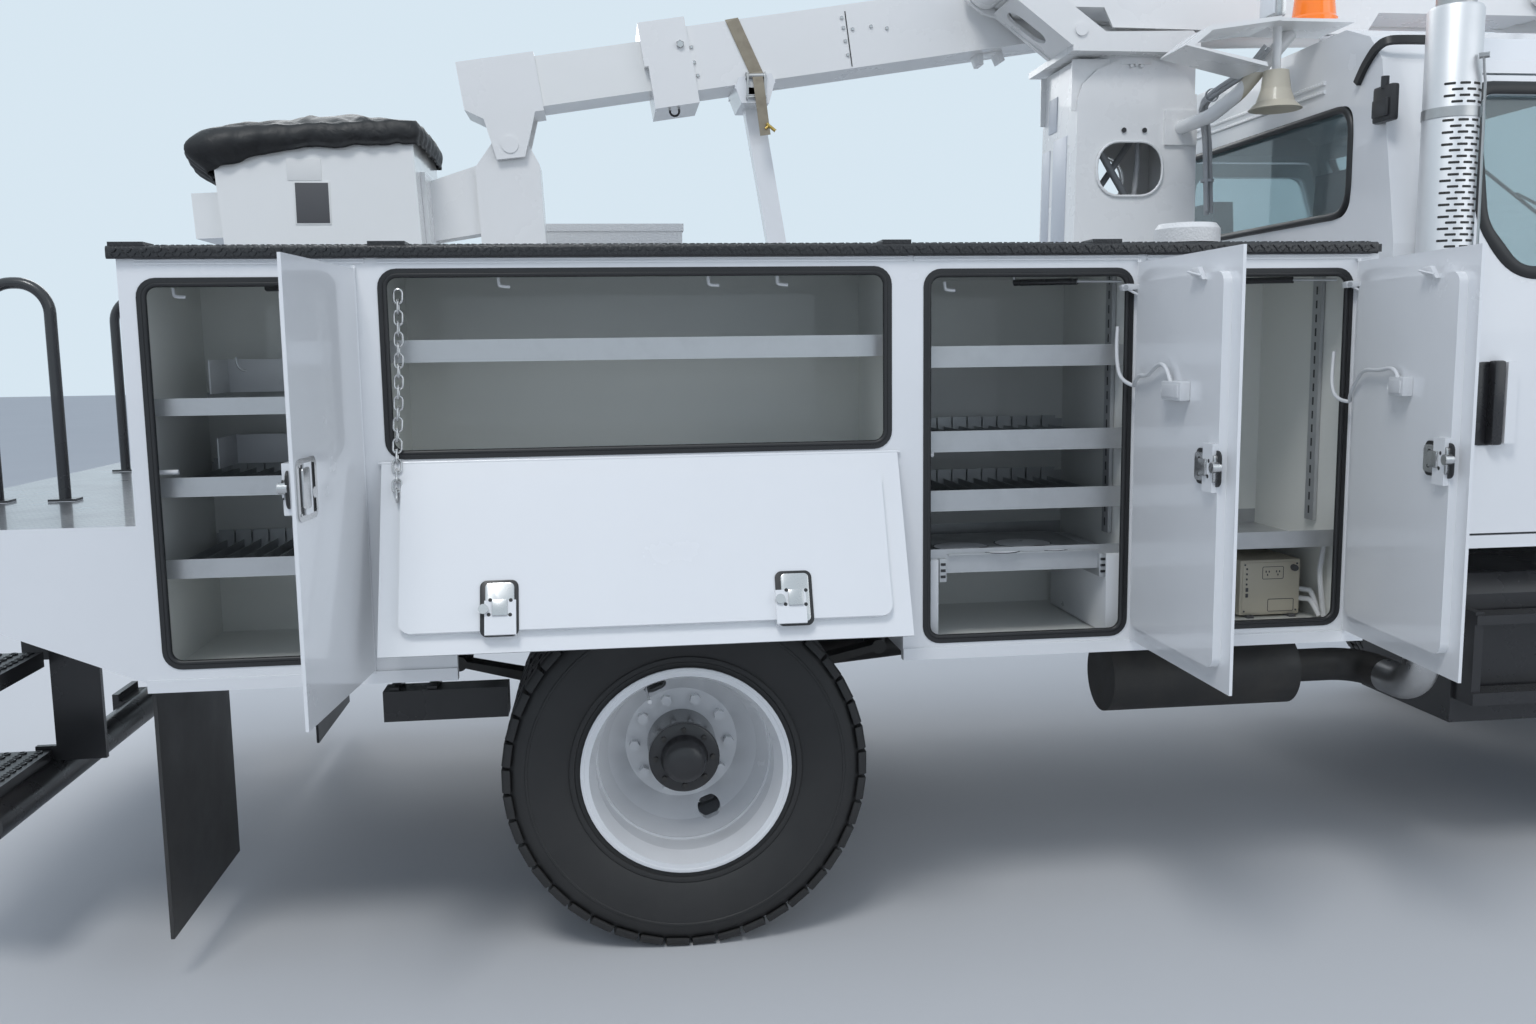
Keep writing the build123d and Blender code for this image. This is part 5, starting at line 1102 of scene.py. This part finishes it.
def cabTrim():
    black, white, dark = Shape(), Shape(), Shape()
    wall = cabSizes["rear"]
    # rear window
    loop = roundedLoop([(-800, 2113), (-800, 2447), (800, 2447), (800, 2113)], 90)
    black.sweep([(wall + 2, a, b) for a, b in loop], roundSection(13, 10), closed=True, up=(1, 0, 0))
    # gutter over the roof's rear corners, running down the wall
    gutter = [(2290, 972, 2610), (2215, 972, 2610), (2166, 965, 2608), (2160, 925, 2594), (2160, 890, 2570),
              (2160, 858, 2542), (2160, 832, 2508)]
    for side in (-1, 1):
        line = smoothLine([(x, side * y, z) for x, y, z in gutter], 10)
        black.sweep(line, [(-7, -12), (7, -12), (7, 12), (-7, 12)], up=(0, side * -0.4, 1))
    # small dark lamp on the wall's right corner
    dark.block(2140, 2168, -1046, -950, 2362, 2470, edge=9)
    dark.block(2130, 2144, -1036, -962, 2376, 2430, edge=6)
    dark.rod((2148, -1000, 2462), (2148, -1000, 2494), 12, sides=16, edge=2)
    black.piece("cab_seals", sealRubber, smooth=50)
    dark.piece("cab_wall_lamp", blackPaint)
    # ribs pressed into the rear wall over the window
    for z in (2520, 2548):
        white.sweep([(wall - 4, y, z) for y in range(-640, 641, 80)],
                    [(-7, -4), (-3, 3), (3, 3), (7, -4)], up=(-1, 0, 0))
    white.piece("cab_rear_ribs", paint)


def dressCabDoors():
    for side, word in bothSides:
        body = bodyOf["cab_door_" + word]
        pull, y = Shape(), side * cabSizes["half"]
        # a wide seal round the window, on the skin that leans in above the belt
        rings = []
        for reach, radius, lift in ((0, 50, 3), (6, 56, 9), (30, 80, 9), (40, 90, 1)):
            loop = roundedLoop([(2480 - reach, 2060 - reach * 0.6), (2585 - reach * 0.5, 1930 - reach),
                                (3210 + reach * 0.4, 1930 - reach), (2990 + reach, 2455 + reach),
                                (2480 - reach, 2455 + reach)], radius, 8)
            rings.append([(a, side * (cabSizes["half"] + lift - max(0, b - 2000) * 100 / 560), b)
                          for a, b in loop])
        part = bmesh.new()
        loft(part, [[part.verts.new(p) for p in ring] for ring in rings], capped=False)
        Shape().add(part).piece("door_window_seal_" + word, sealRubber, body, smooth=50)
        pull.plate(roundedBox(2441, 2553, 1383, 1641, 40), "Y", y - side * 2, y + side * 3, edge=1)
        pull.block(2500, 2536, y + side * 2, y + side * 36, 1385, 1645, edge=8)
        pull.rod((2470, y + side * 2, 1440), (2470, y + side * 9, 1440), 13, sides=24, edge=1.5)
        pull.piece("door_pull_" + word, blackPaint, body)


exhaustGuard()
cabTrim()
dressCabDoors()
print("cab done")


# boom, riser and turret fittings

def boomFittings():
    metal, white, dark = Shape(), Shape(), Shape()
    near = boomSide[0]
    # seam of the boom's end sleeve, its bolts, and small heads beside them: along, up
    dark.plate([(697, 2921), (701, 2921), (727, 2728), (723, 2728)], "Y", near - 1.2, near + 2, edge=0)
    for x, z in ((687, 2898), (693, 2863), (700, 2817), (709, 2768), (727, 2859), (795, 2869), (854, 2864),
                 (161, 2689), (149, 2734), (140, 2787)):
        metal.rod((x, near - 5, z), (x, near + 1, z), 6, sides=6, edge=0.8)
    metal.rod((98, 12, 2791), (98, 24, 2791), 13, sides=6, edge=1.5)
    # two-legged bracket and an eye under the boom
    white.plate([(1205, 2804), (1224, 2757), (1240, 2757), (1236, 2796), (1290, 2800), (1306, 2766),
                 (1322, 2774), (1308, 2812)], "Y", boomMiddle - 40, boomMiddle + 40, edge=2)
    ring = [(78 + 17 * cos(tau * k / 24), 100, 2574 + 17 * sin(tau * k / 24)) for k in range(24)]
    dark.sweep(ring, roundSection(4), closed=True, up=(0, 1, 0))
    metal.piece("boom_bolts", latchMetal, "upper_boom")
    white.piece("boom_bracket", boomPaint, "upper_boom")
    dark.piece("boom_seam_and_eye", blackPaint, "upper_boom")


def boomStrap():
    # flat webbing round the boom, with its ratchet, loose end and clip
    web, ratchet, clip = Shape(), Shape(), Shape()
    near, far = boomSide[0] - 3, boomSide[1] + 3
    s0 = (boomPin[0] - 303) / cos(radians(boomDrop))
    loop = []
    for y, t in ((near, 115), (far, 115), (far, -115), (near, -115)):
        x, z = onBoom(s0 - (68 if t < 0 else 0), t)
        loop.append(Vector((x, y, z)))
    path = [loop[i].lerp(loop[(i + 1) % 4], k) for i in range(4) for k in (0.02, 0.35, 0.65, 0.98)]
    web.sweep(path, [(-1.2, -23), (1.2, -23), (1.2, 23), (-1.2, 23)],
              closed=True, up=(boomUp[0], 0, boomUp[1]))
    hang = smoothLine([(372, 26, 2700), (376, 12, 2670), (384, 10, 2600), (392, 16, 2540), (400, 18, 2478)])
    web.sweep(hang, [(-19, -1.2), (19, -1.2), (19, 1.2), (-19, 1.2)], up=(0, 1, 0))
    for x in (334, 396):
        ratchet.plate([(x, 2602), (x + 6, 2602), (x + 8, 2700), (x + 2, 2700)], "Y", 14, 38, edge=1)
    ratchet.rod((332, 26, 2686), (406, 26, 2688), 9, sides=20)
    ratchet.rod((332, 26, 2612), (406, 26, 2614), 6, sides=16)
    ratchet.block(340, 398, 30, 38, 2620, 2650, edge=3)
    for k in range(12):
        y, z = 26 + 11 * cos(tau * k / 12), 2686 + 11 * sin(tau * k / 12)
        ratchet.block(331, 334, y - 2, y + 2, z - 2, z + 2, edge=0)
    clip.rod((404, 16, 2518), (436, 16, 2493), 6, sides=16, edge=1)
    clip.rod((400, 16, 2500), (412, 16, 2512), 5, sides=12)
    web.piece("boom_strap", webbing, "upper_boom")
    ratchet.piece("strap_ratchet", steel, "upper_boom")
    clip.piece("strap_clip", goldPaint, "upper_boom")


postFoot, postTop = 1080, 2720


def turretFittings():
    dark, hoses, white, lamp, glass, plates = (Shape() for _ in range(6))
    for x in (1669, 1746):
        for side in (-1, 1):
            dark.rod((x, side * 187, 2471), (x, side * 189.6, 2471), 9, sides=20)
    for x, z in ((1711, 2700), (1693, 2694), (1730, 2694)):
        white.rod((x, -190, z), (x, -176, z), 7, sides=6, edge=1)
    # rolled edge of the side openings
    for side in (-1, 1):
        loop = roundedBox(1569, 1815, 2240, 2431, 82)
        white.sweep([(a, side * 190.5, b) for a, b in loop], roundSection(5), closed=True, up=(0, 1, 0))
    # hoses that cross inside
    for a, b, c, r in (((1600, -60, 2470), (1690, -40, 2330), (1800, -20, 2180), 13),
                       ((1790, 40, 2470), (1700, 20, 2350), (1590, 0, 2200), 12),
                       ((1620, 60, 2480), (1640, 70, 2320), (1630, 80, 2160), 12),
                       ((1760, -90, 2480), (1770, -90, 2330), (1740, -80, 2160), 10)):
        hoses.tube(smoothLine([a, b, c]), r, 12)
    # bundle from the lamp bracket down the post's side
    bundle = [(1994, -560, 2667), (1964, -500, 2602), (1931, -440, 2580), (1903, -370, 2553),
              (1905, -290, 2536), (1940, -236, 2500), (1958, -226, 2424),
              (1964, -226, 2283), (1970, -226, 2170)]
    for k, (dx, dy) in enumerate(((0, 0), (15, -8), (-6, -16), (9, 11))):
        hoses.tube(smoothLine([(x + dx, y + dy + 4 * (k % 2), z + 6 * k) for x, y, z in bundle]),
                   (9, 8, 7, 6)[k], 10)
    for k in (1, 3, 5, 7):
        x, y, z = bundle[k]
        hoses.lathe([(20, -5), (23, -5), (23, 5), (20, 5)], (x + 4, y - 3, z + 6),
                    (1, 1, 0.2) if k < 5 else (0, 0, 1), sides=20, closed=True)
    # square work lamp beside the bracket
    lamp.block(1990, 2024, -640, -530, 2758, 2868, edge=10)
    lamp.rod((2012, -585, 2744), (2012, -585, 2762), 10, sides=16)
    glass.block(1982, 1992, -630, -540, 2768, 2858, edge=4)
    # blank plates on the rear face of the post
    for y0, y1, z0, z1 in ((25, 112, 2499, 2625), (-87, 53, 2084, 2467), (90, 170, 2103, 2440)):
        low, high = (1470 + 30 * (z - postFoot) / (postTop - postFoot) for z in (z0, z1))
        plates.plate([(low - 2.5, z0), (high - 2.5, z1), (high + 2, z1), (low + 2, z0)], "Y", y0, y1,
                     edge=0.6)
    for side in (-1, 1):
        for x0, x1 in ((1480, 1655), (1765, 1934)):
            white.block(x0, x1, side * 162, side * 167, 2540, 2718, edge=0)
    plates.piece("post_plates", plateGrey)
    dark.piece("turret_dark_parts", blackPaint)
    hoses.piece("turret_hoses", hoseGrey)
    white.piece("turret_edges", boomPaint)
    lamp.piece("work_lamp", latchMetal)
    glass.piece("work_lamp_lens", lens)


boomFittings()
boomStrap()
turretFittings()
print("boom done")


# bucket plates, chain, rails, front of the truck and steps

def bucketPlates():
    plates, grey = Shape(), Shape()
    plates.block(-1237, -1126, -153.5, -150, 2292, 2362, edge=0.6)
    plates.block(-1219, -1101, -153.5, -150, 2146, 2289, edge=0.6)
    grey.block(-1214, -1106, -154.5, -151, 2151, 2284, edge=0.6)
    plates.piece("bucket_plates", blankPlate, bodyOf["bucket"])
    grey.piece("bucket_dark_plate", trim, bodyOf["bucket"])


chainPitch = 27


def chainLink(long, wide, thick):
    made = Shape()
    line = [Vector((a, 0, b))
            for a, b in roundedBox(-wide / 2, wide / 2, -long / 2, long / 2, wide / 2 - 0.1, 5)]
    made.sweep(line, roundSection(thick / 2, 8), closed=True, up=(0, 1, 0))
    return made


def wideDoorChain():
    # from the body to the hanging door, at the door's left end
    path = smoothLine([(-733, -1200, 1873), (-739, -1208, 1650), (-751, -1222, 1460),
                       (-751, -1246, 1400), (-747, -1292, 1330)], 12)
    lengths = [0]
    for a, b in zip(path, path[1:]):
        lengths.append(lengths[-1] + (b - a).length)
    rows = []
    count = int(lengths[-1] / chainPitch)
    for k in range(count):
        want = lengths[-1] * (k + 0.5) / count
        i = next(i for i in range(len(path) - 1) if lengths[i + 1] >= want)
        p = path[i].lerp(path[i + 1], (want - lengths[i]) / (lengths[i + 1] - lengths[i]))
        way = (path[i + 1] - path[i]).normalized()
        flat = Vector((1, 0, 0)) if k % 2 else Vector((0, 1, 0.001))
        rows.append((p, way, flat.cross(way).normalized()))
    scatter("wide_door_chain", chainLink(38, 22, 6), rows, latchMetal)


def railLips():
    lip, ledge, rows = Shape(), Shape(), []
    for side in (-1, 1):
        y = side * (bodyHalf + 12)
        outline = [(y - side * 30, 1984), (y - side * 30, 1990), (y, 1990), (y + side * 5, 1987),
                   (y + side * 7, 1981), (y + side * 7, 1962), (y + side * 4, 1957),
                   (y - side * 2, 1957), (y - side * 2, 1984)]
        lip.plate(outline, "X", -1442, 2002, edge=1)
        for row, (out, up, face) in enumerate(((7, 1966, (0, side, 0)), (7, 1977, (0, side, 0)),
                                               (-6, 1990, (0, 0, 1)), (-20, 1990, (0, 0, 1)))):
            for k in range(186):
                lean = 0.8 if (k + row) % 2 else -0.8
                across = Vector((1, 0, lean)) if row < 2 else Vector((1, lean, 0))
                rows.append(((-1430 + k * 18.4 + row % 2 * 9, y + side * out, up), face, across.normalized()))
        for x0, x1 in ((-1380, -812), (-780, 634), (648, 1292), (1318, 1990)):
            for z in (1943, 1952):
                ledge.block(x0, x1, side * (bodyHalf - 1), side * (bodyHalf + 6), z, z + 4, edge=1)
    stud = Shape().plate([(-8.5, 0), (0, -2.8), (8.5, 0), (0, 2.8)], "Z", -0.5, 2.4, edge=0)
    lip.piece("rail_lips", liner)
    ledge.piece("rail_ledges", paint)
    scatter("rail_studs", stud, rows, liner)


def onScreen(y, z, out=0):
    # on the leaning windscreen
    rise = cabSizes["top"] - screen["belowTop"] - screen["low"]
    return (screen["foot"] - (z - screen["low"]) * screen["run"] / rise + out, y, z)


def cabFittings():
    # windscreen seal, wipers and roof lamps
    seal, wipers, lamps = Shape(), Shape(), Shape()
    loop = roundedLoop([(-920, 1960), (-850, 2560), (850, 2560), (920, 1960)], 70, 8)
    seal.sweep([onScreen(a, b, -2) for a, b in loop], roundSection(15), closed=True, up=(1, 0, 0.5))
    for side in (-1, 1):
        a, b, c = (Vector(onScreen(side * y, z, out))
                   for y, z, out in ((700, 1900, 16), (420, 2080, 24), (130, 2260, 16)))
        wipers.tube(smoothLine([a, b, c]), 6, 10)
        wipers.rod(onScreen(side * 330, 2040, 10), onScreen(side * -30, 2420, 8), 7, sides=10)
        wipers.rod(a - Vector((20, 0, 0)), a + Vector((12, 0, 6)), 16, sides=20, edge=2)
    for y in (-620, -170, 0, 170, 620):
        lamps.block(2850, 2930, y - 34, y + 34, cabSizes["top"] - 2, cabSizes["top"] + 26, edge=9)
    seal.piece("windscreen_seal", sealRubber, smooth=60)
    wipers.piece("wipers", blackPaint)
    lamps.piece("roof_lamps", amber)


def hoodFittings():
    # plain lamp bezels and bowls, grille mesh and catches
    rings, glass, mesh, catches = Shape(), Shape(), Shape(), Shape()
    for side in (-1, 1):
        line = [(wheelbase + x, side * y) for x, y in ((914, 650), (876, 800), (794, 950))]
        for z in (944, 1146):
            rings.sweep([(x, y, z) for x, y in line], [(-4, -6), (4, -6), (4, 6), (-4, 6)])
        for x, y in line:
            rings.rod((x, y, 940), (x, y, 1150), 6, sides=12)
        for x, y, r, way in ((881, 728, 72, (0.92, side * 0.3, 0)), (826, 872, 58, (0.86, side * 0.5, 0))):
            glass.lathe([(r, 0), (r, 6), (r * 0.8, 14), (r * 0.4, 19), (0, 20)],
                        (wheelbase + x, side * y, 1045), way, sides=40)
        catches.block(wheelbase + 250, wheelbase + 300, side * 1181, side * 1196, 1180, 1300, edge=4)
        catches.block(wheelbase + 262, wheelbase + 288, side * 1194, side * 1206, 1160, 1240, edge=5)
    for k in range(33):
        y = -384 + k * 24
        mesh.block(wheelbase + 916, wheelbase + 919, y - 1.5, y + 1.5, 936, 1344, edge=0)
    for k in range(17):
        z = 948 + k * 24
        mesh.block(wheelbase + 914, wheelbase + 917, -394, 394, z - 1.5, z + 1.5, edge=0)
    rings.piece("headlamp_bezels", bright, "hood")
    glass.piece("headlamp_bowls", lens, "hood")
    mesh.piece("grille_mesh", blackPaint, "hood")
    catches.piece("hood_catches", sealRubber, "hood")


def mirrorGlasses():
    x = wheelbase - 660
    for side, word in bothSides:
        mirror = Shape()
        for z0, z1 in ((1900, 2186), (1754, 1880)):
            mirror.block(x - 3, x + 1, side * 1180, side * 1336, z0, z1)
        mirror.piece("mirror_glass_" + word, mirrorGlass, bodyOf["cab_door_" + word])


stepEnds, stepTops = (-2150, -1870), (550, 850)


def stepGrip():
    # rings punched up from the step plates, twelve across and six along
    pitch = (stepEnds[1] - stepEnds[0] - 56) / 5
    rows = [((stepEnds[0] + 28 + i * pitch, side * (792 + j * 35), z), (0, 0, 1), (1, 0, 0))
            for side in (-1, 1) for z in stepTops for i in range(6) for j in range(12)]
    ring = Shape().lathe([(13, -0.5), (11, 4), (7, 4), (6, -0.5)], (0, 0, 0), sides=14, closed=True)
    scatter("step_grip", ring, rows, blackPaint)


bucketPlates()
wideDoorChain()
railLips()
cabFittings()
hoodFittings()
mirrorGlasses()
stepGrip()
print("small parts done")


# stage, light and camera

camera = {"focal": 1275.1, "at": (-192, -4695, 1705), "yaw": -7.05,
          "pitch": -7.22, "roll": -0.77, "width": 1536}


def photoCamera():
    data = bpy.data.cameras.new("camera")
    data.sensor_width = 36
    data.lens = camera["focal"] * 36 / camera["width"]
    data.clip_start, data.clip_end = 0.05, 200
    made = linked("camera", data)
    made.matrix_world = Matrix.Translation(place(*camera["at"]))
    for degrees, axis in ((camera["yaw"], "Z"), (90 + camera["pitch"], "X"), (camera["roll"], "Z")):
        made.matrix_world = made.matrix_world @ Matrix.Rotation(radians(degrees), 4, axis)
    bpy.context.scene.camera = made


def studio():
    floorMesh = bpy.data.meshes.new("floor")
    half = 60
    corners = [(-half, -half, 0), (half, -half, 0), (half, half, 0), (-half, half, 0)]
    floorMesh.from_pydata(corners, [], [(0, 1, 2, 3)])
    floor = linked("floor", floorMesh)
    pale = finish("studio floor", (0.62, 0.63, 0.64), (0.58, 0.59, 0.6), drift=0.15,
                  driftScale=0.6, rough=0.75, bump=0.05)
    floorMesh.materials.append(pale)
    world = bpy.data.worlds.new("sky")
    bpy.context.scene.world = world
    world.use_nodes = True
    tree = world.node_tree
    tree.nodes.clear()
    path = wire(tree, "ShaderNodeLightPath").outputs
    seen = combined(tree, "MAXIMUM",
                    [path["Is %s Ray" % kind] for kind in ("Camera", "Glossy", "Transmission")])
    soft = wire(tree, "ShaderNodeBackground", {"Color": (0.72, 0.83, 1.0, 1), "Strength": 0.66})
    back = wire(tree, "ShaderNodeBackground", {"Color": (0.72, 0.84, 0.93, 1), "Strength": 0.95})
    mixed = wire(tree, "ShaderNodeMixShader", {"Fac": seen})
    tree.links.new(soft.outputs[0], mixed.inputs[1])
    tree.links.new(back.outputs[0], mixed.inputs[2])
    tree.links.new(mixed.outputs[0], wire(tree, "ShaderNodeOutputWorld").inputs[0])
    for name, power, size, at, aim in (("key", 430, 3, (-3.5, -6.5, 10.5), (0, 0, 1.8)),
                                       ("fill", 150, 7, (7, -7, 5), (1, 0, 1)),
                                       ("rear", 300, 6, (-3, 8, 7), (0, 0, 1.5))):
        data = bpy.data.lights.new(name, "AREA")
        data.energy, data.size = power, size
        made = linked(name, data)
        made.location = at
        made.rotation_euler = (Vector(aim) - Vector(at)).to_track_quat("-Z", "Y").to_euler()
    bpy.context.scene.view_settings.view_transform = "Standard"


photoCamera()
studio()
print("stage done")
